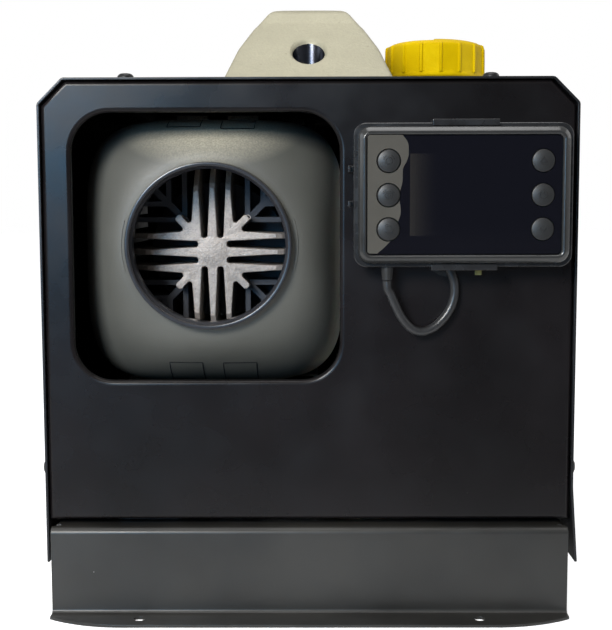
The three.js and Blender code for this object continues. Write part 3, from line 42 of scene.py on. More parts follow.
# ---------------------------------------------------------------- camera
# The camera stands 0.58 m in front of the cover's front edge, a little under
# the case's top, and looks down by a few degrees, so the handle's foot and the
# deck's edge show as thin lines.
camera_place = Vector((2.4, -776.8, 208.12)) * mm
pitch, yaw, roll = math.radians(5.68), math.radians(-0.36), math.radians(-0.15)
sight = Vector((math.sin(yaw) * math.cos(pitch), math.cos(yaw) * math.cos(pitch), -math.sin(pitch)))
level = sight.cross(Vector((0, 0, 1))).normalized()
upright = level.cross(sight)
camera_right = level * math.cos(roll) + upright * math.sin(roll)
camera_up = upright * math.cos(roll) - level * math.sin(roll)
camera = bpy.data.objects.new("camera", bpy.data.cameras.new("camera"))
camera.data.lens = 68.57
camera.data.sensor_width = 36
turn = Matrix((camera_right, camera_up, -sight)).transposed().to_4x4()
camera.matrix_world = Matrix.Translation(camera_place) @ turn
bpy.context.collection.objects.link(camera)
bpy.context.scene.camera = camera

# ---------------------------------------------------------------- controller cable
# A 4.4 mm glossy sleeved lead. It hangs out of the controller's boot in one loose
# loop and goes back into the case through the grommet behind the controller.
CABLE_RADIUS = 2.2
cable_route = [
    (37.7, -202.8, 167.45), (38.0, -202.8, 163.45), (39.4, -202.4, 161), (41.4, -202, 156.2),
    (45.2, -200, 149), (49.8, -198.2, 143.9), (54.6, -197, 142.2), (60.2, -196.2, 143.8),
    (65.2, -195.6, 148), (69, -195.2, 153.6), (70.9, -194.9, 160), (70.7, -194.8, 166),
    (69.2, -194.7, 170.5), (67.8, -194, 173.6), (67.1, -191.6, 176.6), (66.9, -188.3, 178.2),
    (66.9, -184, 178.6),
]


def smooth_line(points, steps):
    """Centripetal Catmull-Rom line through the points."""
    points = [Vector(p) for p in points]
    ends = [points[0] * 2 - points[1]] + points + [points[-1] * 2 - points[-2]]
    line = [points[0]]
    for a, b, c, d in zip(ends, ends[1:], ends[2:], ends[3:]):
        t1 = (b - a).length ** 0.5
        t2 = t1 + (c - b).length ** 0.5
        t3 = t2 + (d - c).length ** 0.5
        for step in range(1, steps + 1):
            t = t1 + (t2 - t1) * step / steps
            ab = a.lerp(b, t / t1)
            bc = b.lerp(c, (t - t1) / (t2 - t1))
            cd = c.lerp(d, (t - t2) / (t3 - t2))
            abc = ab.lerp(bc, t / t2)
            bcd = bc.lerp(cd, (t - t1) / (t3 - t1))
            line.append(abc.lerp(bcd, (t - t1) / (t2 - t1)))
    return line


def material_of(name, colour, roughness, metallic=0.0, **shader_values):
    """A plain Principled material, ready for the nodes that give it its finish."""
    material = bpy.data.materials.new(name)
    material.use_nodes = True
    shader = material.node_tree.nodes["Principled BSDF"]
    shader.inputs["Base Color"].default_value = (*colour, 1)
    shader.inputs["Roughness"].default_value = roughness
    shader.inputs["Metallic"].default_value = metallic
    for socket, value in shader_values.items():
        shader.inputs[socket.replace("_", " ")].default_value = value
    return material


def node(material, kind, inputs=(), **settings):
    """One more node; inputs is a list of (socket, value or output to link)."""
    tree = material.node_tree
    made = tree.nodes.new(kind)
    for key, value in settings.items():
        setattr(made, key, value)
    for socket, value in inputs:
        if isinstance(value, bpy.types.NodeSocket):
            tree.links.new(value, made.inputs[socket])
        else:
            made.inputs[socket].default_value = value
    return made


def noise(material, size_mm, detail=2.0, roughness=0.5, stretch=(1, 1, 1)):
    """Fractal noise whose lumps are about size_mm across."""
    place = node(material, "ShaderNodeTexCoord").outputs["Object"]
    if stretch != (1, 1, 1):
        place = node(material, "ShaderNodeMapping", [("Vector", place), ("Scale", stretch)]).outputs[0]
    made = node(material, "ShaderNodeTexNoise", [
        ("Vector", place), ("Scale", 1000 / size_mm), ("Detail", detail), ("Roughness", roughness)])
    return made.outputs["Fac"]


def spread(material, value, low, high, to_low=0.0, to_high=1.0):
    """Maps low..high onto to_low..to_high, and holds the ends."""
    made = node(material, "ShaderNodeMapRange", [
        ("Value", value), ("From Min", low), ("From Max", high), ("To Min", to_low), ("To Max", to_high)])
    return made.outputs["Result"]


def mixed(material, factor, first, second):
    """Colour mix; first and second are colours or outputs."""
    made = node(material, "ShaderNodeMix", data_type="RGBA")
    tree = material.node_tree
    for slot_index, value in ((0, factor), (6, first), (7, second)):
        if isinstance(value, bpy.types.NodeSocket):
            tree.links.new(value, made.inputs[slot_index])
        elif slot_index:
            made.inputs[slot_index].default_value = (*value, 1)
        else:
            made.inputs[slot_index].default_value = value
    return made.outputs[2]


def reckoned(material, operation, first, second=0.0):
    """The result of one sum; first and second are numbers or outputs."""
    return node(material, "ShaderNodeMath", [(0, first), (1, second)], operation=operation).outputs[0]


def wire(material, socket, output):
    shader = material.node_tree.nodes["Principled BSDF"]
    material.node_tree.links.new(output, shader.inputs[socket])


def mottled(material, size_mm, detail, dark, pale, firm=False):
    """Clouds the colour between two tones; firm clouds have closer edges."""
    cloud = noise(material, size_mm, detail)
    if firm:
        cloud = spread(material, cloud, 0.3, 0.7)
    wire(material, "Base Color", mixed(material, cloud, dark, pale))


def cloudy_gloss(material, size_mm, detail, low, high):
    wire(material, "Roughness", spread(material, noise(material, size_mm, detail), 0.3, 0.7, low, high))


def relief(material, heights):
    """Stacks bumps; heights is a list of (output, depth in mm)."""
    normal = None
    for height, depth_mm in heights:
        inputs = [("Height", height), ("Distance", depth_mm * mm), ("Strength", 1.0)]
        if normal:
            inputs.append(("Normal", normal))
        normal = node(material, "ShaderNodeBump", inputs).outputs["Normal"]
    wire(material, "Normal", normal)


def sleeving():
    material = material_of("cable_sleeve", (0.02, 0.02, 0.021), 0.3)
    mottled(material, 3, 2, (0.014, 0.014, 0.015), (0.034, 0.034, 0.035))
    relief(material, [(noise(material, 1.2, stretch=(1, 1, 0.3)), 0.08)])
    return material


cable_line = smooth_line(cable_route, 6)
cable_curve = bpy.data.curves.new("controller_lead", "CURVE")
cable_curve.dimensions = "3D"
cable_curve.bevel_depth = CABLE_RADIUS * mm
cable_curve.bevel_resolution = 6
cable_curve.use_fill_caps = True
cable_spline = cable_curve.splines.new("POLY")
cable_spline.points.add(len(cable_line) - 1)
for spot, point in zip(cable_spline.points, cable_line):
    spot.co = (*(point * mm), 1)
cable_curve.materials.append(sleeving())
controller_lead = bpy.data.objects.new("controller_lead", cable_curve)
bpy.context.collection.objects.link(controller_lead)
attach(controller_lead, "root")
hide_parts("controller_cable")

# ---------------------------------------------------------------- floor and light
# A pale floor in a white room with a dark curtain behind the camera. A soft key
# light and a bluish window stand left of the camera, broad lights above and at
# each side, and the floor that the base covers gives off no light.
def flat_grid(name, half, z):
    mesh = bpy.data.meshes.new(name)
    corners = [(-half, -half, z), (half, -half, z), (half, half, z), (-half, half, z)]
    mesh.from_pydata([tuple(v * mm for v in corner) for corner in corners], [], [(0, 1, 2, 3)])
    made = bpy.data.objects.new(name, mesh)
    bpy.context.collection.objects.link(made)
    return made


studio_floor = flat_grid("studio_floor", 6000, -0.2)
floor_finish = material_of("studio_floor_white", (0.86, 0.86, 0.86), 0.7)
floor_rays = node(floor_finish, "ShaderNodeLightPath")
floor_place = node(floor_finish, "ShaderNodeSeparateXYZ", [
    ("Vector", node(floor_finish, "ShaderNodeTexCoord").outputs["Object"])])
table_end = mixed(floor_finish, spread(floor_finish, floor_place.outputs[1], -0.50, -0.25), (0.16, 0.16, 0.17),
                  (0.86, 0.86, 0.86))
wire(floor_finish, "Base Color", mixed(floor_finish, floor_rays.outputs["Is Camera Ray"], table_end,
                                       (0.86, 0.86, 0.86)))
under = []
for axis, half in ((0, 0.1285), (1, 0.196)):
    off_middle = reckoned(floor_finish, "ABSOLUTE", floor_place.outputs[axis])
    under.append(spread(floor_finish, off_middle, half - 0.012, half, 0, 0.66))
open_floor = reckoned(floor_finish, "MAXIMUM", *under)
wire(floor_finish, "Emission Strength",
     reckoned(floor_finish, "MULTIPLY", floor_rays.outputs["Is Camera Ray"], open_floor))
floor_finish.node_tree.nodes["Principled BSDF"].inputs["Emission Color"].default_value = (1, 1, 1, 1)
studio_floor.data.materials.append(floor_finish)

world = bpy.data.worlds.new("studio_room")
world.use_nodes = True
bpy.context.scene.world = world
rays = node(world, "ShaderNodeLightPath").outputs
seen = reckoned(world, "MAXIMUM", rays["Is Camera Ray"], rays["Is Transmission Ray"])
way = node(world, "ShaderNodeSeparateXYZ", [("Vector", node(world, "ShaderNodeTexCoord").outputs["Generated"])])
curtain = spread(world, way.outputs[1], -0.97, -0.5, 0.06, 0.42)
shine = spread(world, rays["Is Glossy Ray"], 0, 1, 0.42, curtain)
background = world.node_tree.nodes["Background"]
background.inputs["Color"].default_value = (1, 1, 1, 1)
world.node_tree.links.new(reckoned(world, "MAXIMUM", seen, shine), background.inputs["Strength"])
bpy.context.scene.view_settings.view_transform = "Standard"


def soft_light(name, place, target, size, power, colour=(1, 1, 1)):
    lamp = bpy.data.lights.new(name, "AREA")
    lamp.shape = "SQUARE"
    lamp.size = size
    lamp.energy = power
    lamp.color = colour
    made = bpy.data.objects.new(name, lamp)
    made.location = place
    made.rotation_euler = (Vector(target) - Vector(place)).to_track_quat("-Z", "Y").to_euler()
    bpy.context.collection.objects.link(made)


soft_light("key_light", (-0.42, -1.08, 0.60), (-0.04, -0.15, 0.2), 0.3, 12, (1.0, 0.97, 0.92))
soft_light("top_light", (0.0, -0.2, 1.5), (0, 0, 0.2), 0.9, 8)
soft_light("left_light", (-1.4, -0.3, 0.7), (0, 0, 0.15), 0.9, 4, (0.85, 0.93, 1.0))
soft_light("right_light", (1.4, 0.1, 0.8), (0, 0, 0.15), 0.9, 3)
soft_light("window_light", (-0.68, -2.1, 0.48), (-0.1, -0.19, 0.2), 0.6, 10, (0.2, 0.58, 1.0))

# ---------------------------------------------------------------- base
# One steel pressing, powder-coated black: the deck, a wall and an out-turned
# foot at the front and the rear, and a short wall down each side.
SHEET_BASE = 1.5
DECK = 44.5
BASE_HALF = 128.2
BASE_BEND = 2.6
WALL_FACE = 196.5
FOOT_FRONT = 214.0
FOOT_ARC = 65.0
FOOT_ARC_RUN = 37.0


def bent(corners, radius, steps=7):
    """A row of 2-D corners with each inner corner rounded by an arc."""
    corners = [Vector(c) for c in corners]
    line = [corners[0]]
    for before, corner, after in zip(corners, corners[1:], corners[2:]):
        back, on = (before - corner), (after - corner)
        room = 0.49 * min(back.length, on.length)
        back.normalize()
        on.normalize()
        half = math.acos(max(-1, min(1, back.dot(on)))) / 2
        if half > math.radians(89):
            line.append(corner)
            continue
        reach = min(radius / math.tan(half), room)
        arc_radius = reach * math.tan(half)
        centre = corner + (back + on).normalized() * (arc_radius / math.sin(half))
        start, end = corner + back * reach - centre, corner + on * reach - centre
        sweep = start.angle_signed(end)
        for step in range(steps + 1):
            line.append(centre + Matrix.Rotation(-sweep * step / steps, 2) @ start)
    line.append(corners[-1])
    return line


def shaped(name, points, faces, material, crease=35):
    """A mesh object from points in mm, its faces turned out and smooth up to the crease angle."""
    mesh = bpy.data.meshes.new(name)
    work = bmesh.new()
    corners = [work.verts.new(Vector(p) * mm) for p in points]
    for face in faces:
        try:
            work.faces.new([corners[i] for i in face])
        except ValueError:
            pass  # the same face is there already
    bmesh.ops.recalc_face_normals(work, faces=work.faces)
    work.to_mesh(mesh)
    work.free()
    mesh.materials.append(material)
    mesh.shade_smooth()
    mesh.set_sharp_from_angle(angle=math.radians(crease))
    made = bpy.data.objects.new(name, mesh)
    bpy.context.collection.objects.link(made)
    return made


def folded(name, corners, sheet, bend, place, start, end, material):
    """A bent strip of sheet: corners are its middle line, place(u, v, w) puts a point in the case."""
    line = bent(corners, bend)
    last = len(line) - 1
    rails = [[], []]
    for i, point in enumerate(line):
        came = (point - line[i - 1]).normalized() if i else (line[1] - point).normalized()
        goes = (line[i + 1] - point).normalized() if i < last else came
        normal = Vector((-came.y - goes.y, came.x + goes.x)).normalized()
        reach = sheet / 2 / normal.dot(Vector((-goes.y, goes.x)))
        rails[0].append(point + normal * reach)
        rails[1].append(point - normal * reach)
    count = len(line)
    points = [place(p.x, p.y, w) for w in (start, end) for rail in rails for p in rail]
    faces = []
    for i in range(last):
        for rail in (0, count):
            faces.append((rail + i, rail + i + 1, 2 * count + rail + i + 1, 2 * count + rail + i))
        for side in (0, 2 * count):
            faces.append((side + i, side + i + 1, side + count + i + 1, side + count + i))
    for i in (0, last):
        faces.append((i, count + i, 3 * count + i, 2 * count + i))
    return shaped(name, points, faces, material)


def lofted(name, rows, material, closed=False, crease=35):
    """A skin over rows of points; its ends are capped unless the last row meets the first."""
    count = len(rows[0])
    points = [p for row in rows for p in row]
    faces = []
    spans = len(rows) if closed else len(rows) - 1
    for row in range(spans):
        low, high = row * count, (row + 1) % len(rows) * count
        for i in range(count):
            j = (i + 1) % count
            faces.append((low + i, low + j, high + j, high + i))
    if not closed:
        faces.append(tuple(range(count)))
        faces.append(tuple(range((len(rows) - 1) * count, len(rows) * count)))
    return shaped(name, points, faces, material, crease)


def turned(name, profile, centre, axis, material, segments=64, crease=35):
    """A [radius, along] profile turned about the X, Y or Z axis through centre."""
    closed = profile[0] == profile[-1] and profile[0][0] > 0
    if closed:
        profile = profile[:-1]
    points, rings = [], []
    for radius, along in profile:
        ring = []
        for i in range(segments if radius > 1e-6 else 1):
            angle = 2 * math.pi * i / segments
            u, v = radius * math.cos(angle), radius * math.sin(angle)
            ring.append(len(points))
            points.append({
                "X": (along, centre[0] + u, centre[1] + v),
                "Y": (centre[0] + u, along, centre[1] + v),
                "Z": (centre[0] + u, centre[1] + v, along),
            }[axis])
        rings.append(ring)
    faces = []
    pairs = list(zip(rings, rings[1:])) + ([(rings[-1], rings[0])] if closed else [])
    for low, high in pairs:
        for i in range(segments):
            j = (i + 1) % segments
            face = [low[i % len(low)], low[j % len(low)], high[j % len(high)], high[i % len(high)]]
            face = list(dict.fromkeys(face))
            if len(face) > 2:
                faces.append(face)
    return shaped(name, points, faces, material, crease)


def rod(name, radius, start, end, centre, axis, material, segments=64):
    """A plain round bar, mostly taken away from a piece as a hole."""
    return turned(name, [(0, start), (radius, start), (radius, end), (0, end)], centre, axis, material, segments)


def slab(name, outline, place, start, end, material):
    """A flat outline [u, v] run from start to end."""
    rows = [[place(u, v, w) for u, v in outline] for w in (start, end)]
    return lofted(name, rows, material)


def x_run(u, v, w):
    return (w, u, v)


def y_run(u, v, w):
    return (u, w, v)


def z_run(u, v, w):
    return (u, v, w)


def brick(name, low, high, material):
    outline = [(low[0], low[1]), (high[0], low[1]), (high[0], high[1]), (low[0], high[1])]
    return slab(name, outline, z_run, low[2], high[2], material)


def applied(made):
    """Puts the modifiers' result into the mesh."""
    depsgraph = bpy.context.evaluated_depsgraph_get()
    mesh = bpy.data.meshes.new_from_object(made.evaluated_get(depsgraph))
    made.modifiers.clear()
    made.data = mesh
    return made


def settled(made, crease=35):
    applied(made).data.set_sharp_from_angle(angle=math.radians(crease))
    return made


def in_triangles(made):
    """Splits the many-sided faces, so that a later cut leaves no doubtful ones."""
    work = bmesh.new()
    work.from_mesh(made.data)
    bmesh.ops.triangulate(work, faces=[face for face in work.faces if len(face.verts) > 4])
    work.to_mesh(made.data)
    work.free()
    return made


def combined(made, others, operation):
    for other in others:
        change = made.modifiers.new("fit", "BOOLEAN")
        change.operation = operation
        change.solver = "MANIFOLD"
        change.object = other
    settled(made)
    for other in others:
        bpy.data.objects.remove(other)
    return made


def cut(made, *tools):
    return combined(made, tools, "DIFFERENCE")


def welded(made, *others):
    return combined(made, others, "UNION")


def eased(made, width_mm, steps=2, angle=28, crease=35):
    """Rounds the edges as a press, a mould or a file leaves them."""
    made.data.shade_smooth()
    change = made.modifiers.new("edges", "BEVEL")
    change.width = width_mm * mm
    change.segments = steps
    change.limit_method = "ANGLE"
    change.angle_limit = math.radians(angle)
    change.use_clamp_overlap = False
    settled(made, crease)
    made.modifiers.new("even_shading", "WEIGHTED_NORMAL").keep_sharp = True
    return applied(made)


def fitted(made, body, slot, *nodes):
    """Says what the piece rides on and hides the CAD nodes that it stands for; slot, its finish, is not used."""
    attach(made, body)
    if nodes:
        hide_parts(*nodes)
    return made


def powder_coat(name, tone, gloss, dust, ior):
    """Black semi-gloss powder: orange peel, cloudy gloss and a few white specks."""
    material = material_of(name, tone, gloss, IOR=ior)
    cloud = noise(material, 60, 3)
    pale = tuple(2.0 * c for c in tone)
    base = mixed(material, spread(material, cloud, 0.35, 0.7), tone, pale)
    cells = node(material, "ShaderNodeTexVoronoi", [
        ("Vector", node(material, "ShaderNodeTexCoord").outputs["Object"]), ("Scale", 1000 / 17)])
    speck = spread(material, cells.outputs["Distance"], 0.016, 0.022, 1, 0)
    chance = node(material, "ShaderNodeSeparateColor", [("Color", cells.outputs["Color"])])
    few = spread(material, chance.outputs[0], 0.62, 0.64, 0, dust)
    speck = reckoned(material, "MULTIPLY", speck, few)
    wire(material, "Base Color", mixed(material, speck, base, (0.5, 0.5, 0.48)))
    cloudy_gloss(material, 25, 4, gloss - 0.05, gloss + 0.09)
    relief(material, [(noise(material, 1.6, 2), 0.012)])
    return material


base_paint = powder_coat("base_powder_coat", (0.0145, 0.0138, 0.0125), 0.34, 0.6, 1.5)


def base_plan():
    outline = []
    for sx, sy in ((1, -1), (1, 1), (-1, 1), (-1, -1)):
        centre = (sx * (BASE_HALF - FOOT_ARC_RUN), sy * (FOOT_FRONT - FOOT_ARC))
        sweep = math.asin(FOOT_ARC_RUN / FOOT_ARC)
        first, last = math.pi / 2, math.pi / 2 - sweep
        arc = [first + (last - first) * i / 20 for i in range(21)]
        corner = [(centre[0] + sx * FOOT_ARC * math.cos(a), centre[1] + sy * FOOT_ARC * math.sin(a)) for a in arc]
        outline += corner if sx * sy < 0 else corner[::-1]
    return outline


half_sheet = SHEET_BASE / 2
wall_middle = WALL_FACE - half_sheet
base = folded("base", [
    (-FOOT_FRONT - 3, half_sheet), (-wall_middle, half_sheet), (-wall_middle, DECK - half_sheet),
    (wall_middle, DECK - half_sheet), (wall_middle, half_sheet), (FOOT_FRONT + 3, half_sheet),
], SHEET_BASE, BASE_BEND, x_run, -BASE_HALF, BASE_HALF, base_paint)
combined(base, [slab("plan", base_plan(), z_run, -5, DECK + 5, base_paint)], "INTERSECT")
side_end = WALL_FACE - BASE_BEND - SHEET_BASE - 3
fold_line = BASE_HALF - BASE_BEND - SHEET_BASE
cut(base, *[
    brick("relief", (min(s * fold_line, s * 130), -side_end - 3, -2), (max(s * fold_line, s * 130), side_end + 3, 60),
          base_paint) for s in (-1, 1)])
for side in (-1, 1):
    edge = side * (BASE_HALF - half_sheet)
    welded(base, folded("side_wall", [
        (side * (fold_line - 2), DECK - half_sheet), (edge, DECK - half_sheet), (edge, 3),
    ], SHEET_BASE, BASE_BEND, y_run, -side_end, side_end, base_paint))
UNIT_X, UNIT_Z = -49.9, 178.5
UNIT_AXIS = (UNIT_X, UNIT_Z)
PIPE_HOLE = 14
FOOT_HOLE, FOOT_HOLE_RADIUS = (83.5, 205.25), 2.75
pipe_places = {"exhaust": -10.0, "air": 36.0}
cut(base, *[rod("hole", PIPE_HOLE, DECK - 10, DECK + 5, (UNIT_X, y), "Z", base_paint) for y in pipe_places.values()])
cut(base, *[rod("hole", FOOT_HOLE_RADIUS, -2, 3, (sx * FOOT_HOLE[0], sy * FOOT_HOLE[1]), "Z", base_paint, 32)
            for sx in (-1, 1) for sy in (-1, 1)])
eased(base, 0.3)
fitted(base, "root", "case_paint", "base_pan")

# ---------------------------------------------------------------- front and rear panels
# Two shallow pans of the same painted sheet, their edges turned back inside the
# cover. The front one has the outlet window, its edge rolled in, and the rear
# one a round intake hole.
SHEET = 1.2
PANEL_FACE = 191.5
PANEL_HALF = 129.5
PANEL_TOP = 263.5
PANEL_BOTTOM = 47.5
PANEL_FLANGE = 18.0
PANEL_BEND = 2.4
CHAMFER = 12.0
WINDOW = {"x": UNIT_X, "z": 183.0, "width": 130.6, "height": 131.0, "radius": 19.0, "roll": 2.0}
CABLE_HOLE, CABLE_HOLE_RADIUS = (67.0, 177.0), 7
SCREW_X, SCREW_Y, SIDE_SCREW_Z = 89.5, 180.5, 72
POWER_HOLE, POWER_HOLE_RADIUS = (78.0, 78.0), 9
INTAKE_HOLE = 50
SCREW_HOLE = 2.5

panel_paint = powder_coat("panel_powder_coat", (0.0042, 0.0034, 0.0037), 0.27, 0.22, 1.34)


def quarter_arc(steps):
    """Shares of a bend still to go sideways and gone back, from the face to the side."""
    angles = [math.pi / 2 * step / steps for step in range(steps + 1)]
    return [(1 - math.sin(a), 1 - math.cos(a)) for a in angles]


def panel_row(inset, y):
    half, top, bottom = PANEL_HALF - inset, PANEL_TOP - inset, PANEL_BOTTOM + inset
    corner = CHAMFER - inset * (2 - math.sqrt(2))
    flat = [(-half, bottom), (half, bottom), (half, top - corner), (half - corner, top),
            (-half + corner, top), (-half, top - corner)]
    return [(x, y, z) for x, z in flat]


def panel_pan(name, facing):
    """facing is -1 for the front and 1 for the rear."""
    face = facing * PANEL_FACE
    inward = -facing
    inner_bend = PANEL_BEND - SHEET
    arc = quarter_arc(8)
    rows = [panel_row(PANEL_BEND * u, face + inward * PANEL_BEND * v) for u, v in arc]
    rows += [panel_row(inset, face + inward * PANEL_FLANGE) for inset in (0, SHEET)]
    rows += [panel_row(SHEET + inner_bend * u, face + inward * (SHEET + inner_bend * v)) for u, v in reversed(arc)]
    return lofted(name, rows, panel_paint)


def rounded_rectangle(width, height, radius, centre=(0, 0), steps=12):
    outline = []
    for quarter, sx, sy in ((0, 1, 1), (1, -1, 1), (2, -1, -1), (3, 1, -1)):
        for step in range(steps + 1):
            angle = math.pi / 2 * (quarter + step / steps)
            outline.append((centre[0] + sx * (width / 2 - radius) + radius * math.cos(angle),
                            centre[1] + sy * (height / 2 - radius) + radius * math.sin(angle)))
    return outline


def window_row(grow, y):
    outline = rounded_rectangle(WINDOW["width"] + 2 * grow, WINDOW["height"] + 2 * grow, WINDOW["radius"] + grow,
                                (WINDOW["x"], WINDOW["z"]))
    return [(u, y, v) for u, v in outline]


def panel_feet(facing):
    low, high = sorted((facing * (PANEL_FACE - PANEL_FLANGE), facing * (PANEL_FACE - 10)))
    return [brick("tongue", (s * 80.3 - 15, low, DECK + 0.3), (s * 80.3 + 15, high, PANEL_BOTTOM + 0.6), panel_paint)
            for s in (-1, 1)]


def screw_drills(facing):
    y = facing * SCREW_Y
    drills = [rod("drill", SCREW_HOLE, 255, 270, (s * SCREW_X, y), "Z", panel_paint, 24)
              for s in (-1, 1)]
    drills += [rod("drill", SCREW_HOLE, s * 124, s * 136, (y, SIDE_SCREW_Z), "X",
                      panel_paint, 24) for s in (-1, 1)]
    return drills


front_panel = panel_pan("front_sheet", -1)
welded(front_panel, *panel_feet(-1))
roll = WINDOW["roll"]
cut(front_panel,
    lofted("opening", [window_row(roll - 0.01, y - PANEL_FACE) for y in (-3, 4)], panel_paint),
    rod("hole", CABLE_HOLE_RADIUS, -194, -187, CABLE_HOLE, "Y", panel_paint, 64),
    *screw_drills(-1))
inner_roll = roll - SHEET
rolled_rows = [window_row(roll * u, -PANEL_FACE + roll * v) for u, v in quarter_arc(8)]
rolled_rows += [window_row(grow, -PANEL_FACE + 3.2) for grow in (0, SHEET)]
rolled_rows += [window_row(SHEET + inner_roll * u, -PANEL_FACE + SHEET + inner_roll * v)
                for u, v in reversed(quarter_arc(8))]
rolled_edge = lofted("window_edge", rolled_rows, panel_paint, closed=True)
eased(front_panel, 0.2)
fitted(front_panel, "root", "case_paint", "front_panel")
fitted(rolled_edge, "root", "case_paint", "front_panel")

rear_panel = panel_pan("rear_sheet", 1)
welded(rear_panel, *panel_feet(1))
cut(rear_panel,
    rod("hole", INTAKE_HOLE, 187, 194, UNIT_AXIS, "Y", panel_paint, 96),
    rod("hole", POWER_HOLE_RADIUS, 187, 194, POWER_HOLE, "Y", panel_paint, 48),
    *screw_drills(1))
eased(rear_panel, 0.2)
fitted(rear_panel, "root", "case_paint", "rear_panel")

# ---------------------------------------------------------------- cover
# The folded outer sheet: top, two 45 degree corners and two side legs that
# reach down over the base. Its raw front edge shows as a thin pale line.
COVER_HALF = 131.0
COVER_TOP = 265.0
COVER_DEPTH = 385.0
LEG_BOTTOM = 26.0
NECK, NECK_HOLE = (80.5, 5.0), 26.7
BOLT_HOLE = 4.5
BOLT_Y = 105.5

cover_paint = powder_coat("cover_powder_coat", (0.008, 0.008, 0.0088), 0.3, 0.3, 1.42)
edge_x, edge_z = COVER_HALF - SHEET / 2, COVER_TOP - SHEET / 2
cover = folded("cover", [
    (-edge_x, LEG_BOTTOM), (-edge_x, edge_z - CHAMFER), (-edge_x + CHAMFER, edge_z), (edge_x - CHAMFER, edge_z),
    (edge_x, edge_z - CHAMFER), (edge_x, LEG_BOTTOM + 38), (edge_x + 2.6, LEG_BOTTOM),
], SHEET, 2.5, y_run, -COVER_DEPTH / 2, COVER_DEPTH / 2, cover_paint)
cut(cover,
    rod("hole", NECK_HOLE, 250, 270, NECK, "Z", cover_paint, 96),
    *[rod("hole", BOLT_HOLE, 250, 270, (0, y), "Z", cover_paint, 32)
      for y in (-BOLT_Y, BOLT_Y)],
    *screw_drills(-1), *screw_drills(1))
eased(cover, 0.22)
fitted(cover, "root", "case_paint", "top_cover")

# ---------------------------------------------------------------- cover screws
# Eight blackened M4 pan-head screws with cross recesses, two from above and one
# from each side at either end. The rear four have no solid in the CAD.
screw_black = material_of("screw_black_oxide", (0.02, 0.02, 0.02), 0.38, 0.6)
cloudy_gloss(screw_black, 0.8, 2, 0.3, 0.5)


def cover_screw(name, seat, centre, axis, sign, nodes):
    head = [(0, -11), (2, -11), (2, 0), (4, 0), (4, 0.9), (3.75, 1.5), (3.2, 2.1), (2.4, 2.5), (1.2, 2.68), (0, 2.7)]
    made = turned(name, [(r, sign * (seat + h)) for r, h in head], centre, axis, screw_black, 48)
    wings = []
    for wide, tall in ((3.6, 0.75), (0.75, 3.6)):
        low, high = sorted((sign * (seat + 1.1), sign * (seat + 4)))
        if axis == "Z":
            wings.append(brick("recess", (centre[0] - wide / 2, centre[1] - tall / 2, low),
                               (centre[0] + wide / 2, centre[1] + tall / 2, high), screw_black))
        else:
            wings.append(brick("recess", (low, centre[0] - wide / 2, centre[1] - tall / 2),
                               (high, centre[0] + wide / 2, centre[1] + tall / 2), screw_black))
    cut(made, *wings)
    fitted(made, "root", "case_paint", *nodes)


for end, row in ((-1, "front"), (1, "rear")):
    for side, hand in ((-1, "left"), (1, "right")):
        on_top = [f"top_screw_{hand}"] if end < 0 else []
        on_side = [f"side_screw_{hand}"] if end < 0 else []
        cover_screw(f"{row}_cover_screw_top_{hand}", COVER_TOP + 0.3, (side * SCREW_X, end * SCREW_Y), "Z", 1, on_top)
        cover_screw(f"{row}_cover_screw_side_{hand}", COVER_HALF + 0.3, (end * SCREW_Y, SIDE_SCREW_Z), "X", side,
                    on_side)

# ---------------------------------------------------------------- carry handle
# A sand-textured aluminium casting, left bare, with long sloping legs under a
# steeper brow. Each leg is held by one socket-head screw deep in a round mouth.
HANDLE_FOOT = 128.0
HANDLE_SEAT = 265.3
HANDLE_TOP = 315.7
LEG_START, LEG_END = (128.0, 269.3), (83.0, 305.6)
MOUTH_FLOOR = 271.0


def sand_cast(name, tone, metallic, roughness, grain_mm, depth_mm, stain, pitted):
    """Bare sand-textured alloy: pebbled skin, small dark pits and a cloudy tarnish."""
    material = material_of(name, tone, roughness, metallic)
    cloud = spread(material, noise(material, 26, 4), 0.32, 0.68)
    fine = spread(material, noise(material, grain_mm * 1.4, 3, 0.6), 0.36, 0.66)
    dark = tuple(c * stain for c in tone)
    base = mixed(material, cloud, tuple(c * 0.88 for c in tone), tone)
    base = mixed(material, spread(material, fine, 0, 1, 0.5, 0), base, dark)
    pits = spread(material, noise(material, grain_mm * 2, 4, 0.6), 0.27, 0.34, pitted, 0)
    base = mixed(material, pits, base, tuple(c * 0.25 for c in tone))
    wire(material, "Base Color", base)
    wire(material, "Roughness", spread(material, fine, 0, 1, roughness - 0.06, roughness + 0.08))
    relief(material, [(noise(material, grain_mm, 3, 0.55), depth_mm), (noise(material, grain_mm * 6, 2), depth_mm)])
    return material


handle_alloy = sand_cast("handle_alloy", (0.41, 0.38, 0.275), 0.4, 0.55, 1.3, 0.2, 0.72, 0.35)
half_side = [(-HANDLE_FOOT, HANDLE_SEAT), (-LEG_START[0], LEG_START[1]), (-LEG_END[0], LEG_END[1]), (-78, 312.9),
             (-62, HANDLE_TOP)]
handle_side = bent(half_side[:3] + [(-82.2, 306.6)], 9)[:-1]
brow = bent([(-82.6, 306.0), (-78, 312.9), (-62, HANDLE_TOP), (62, HANDLE_TOP), (78, 312.9), (82.6, 306.0)], 14)
handle_side = handle_side + brow + [Vector((-p.x, p.y)) for p in reversed(handle_side)]
finger_gap = bent([
    (60, HANDLE_SEAT), (56, HANDLE_SEAT + 26), (-56, HANDLE_SEAT + 26), (-60, HANDLE_SEAT)], 12)
side_outline = [tuple(p) for p in handle_side + finger_gap]
front_half = [(47.5, HANDLE_SEAT), (38.9, 288.3), (31.4, 300.8), (20.2, 314.8), (0, 316.1)]
front_outline = bent(front_half + [(-x, z) for x, z in front_half[-2::-1]], 12, 5)
handle = slab("handle_casting", side_outline, x_run, -50, 50, handle_alloy)
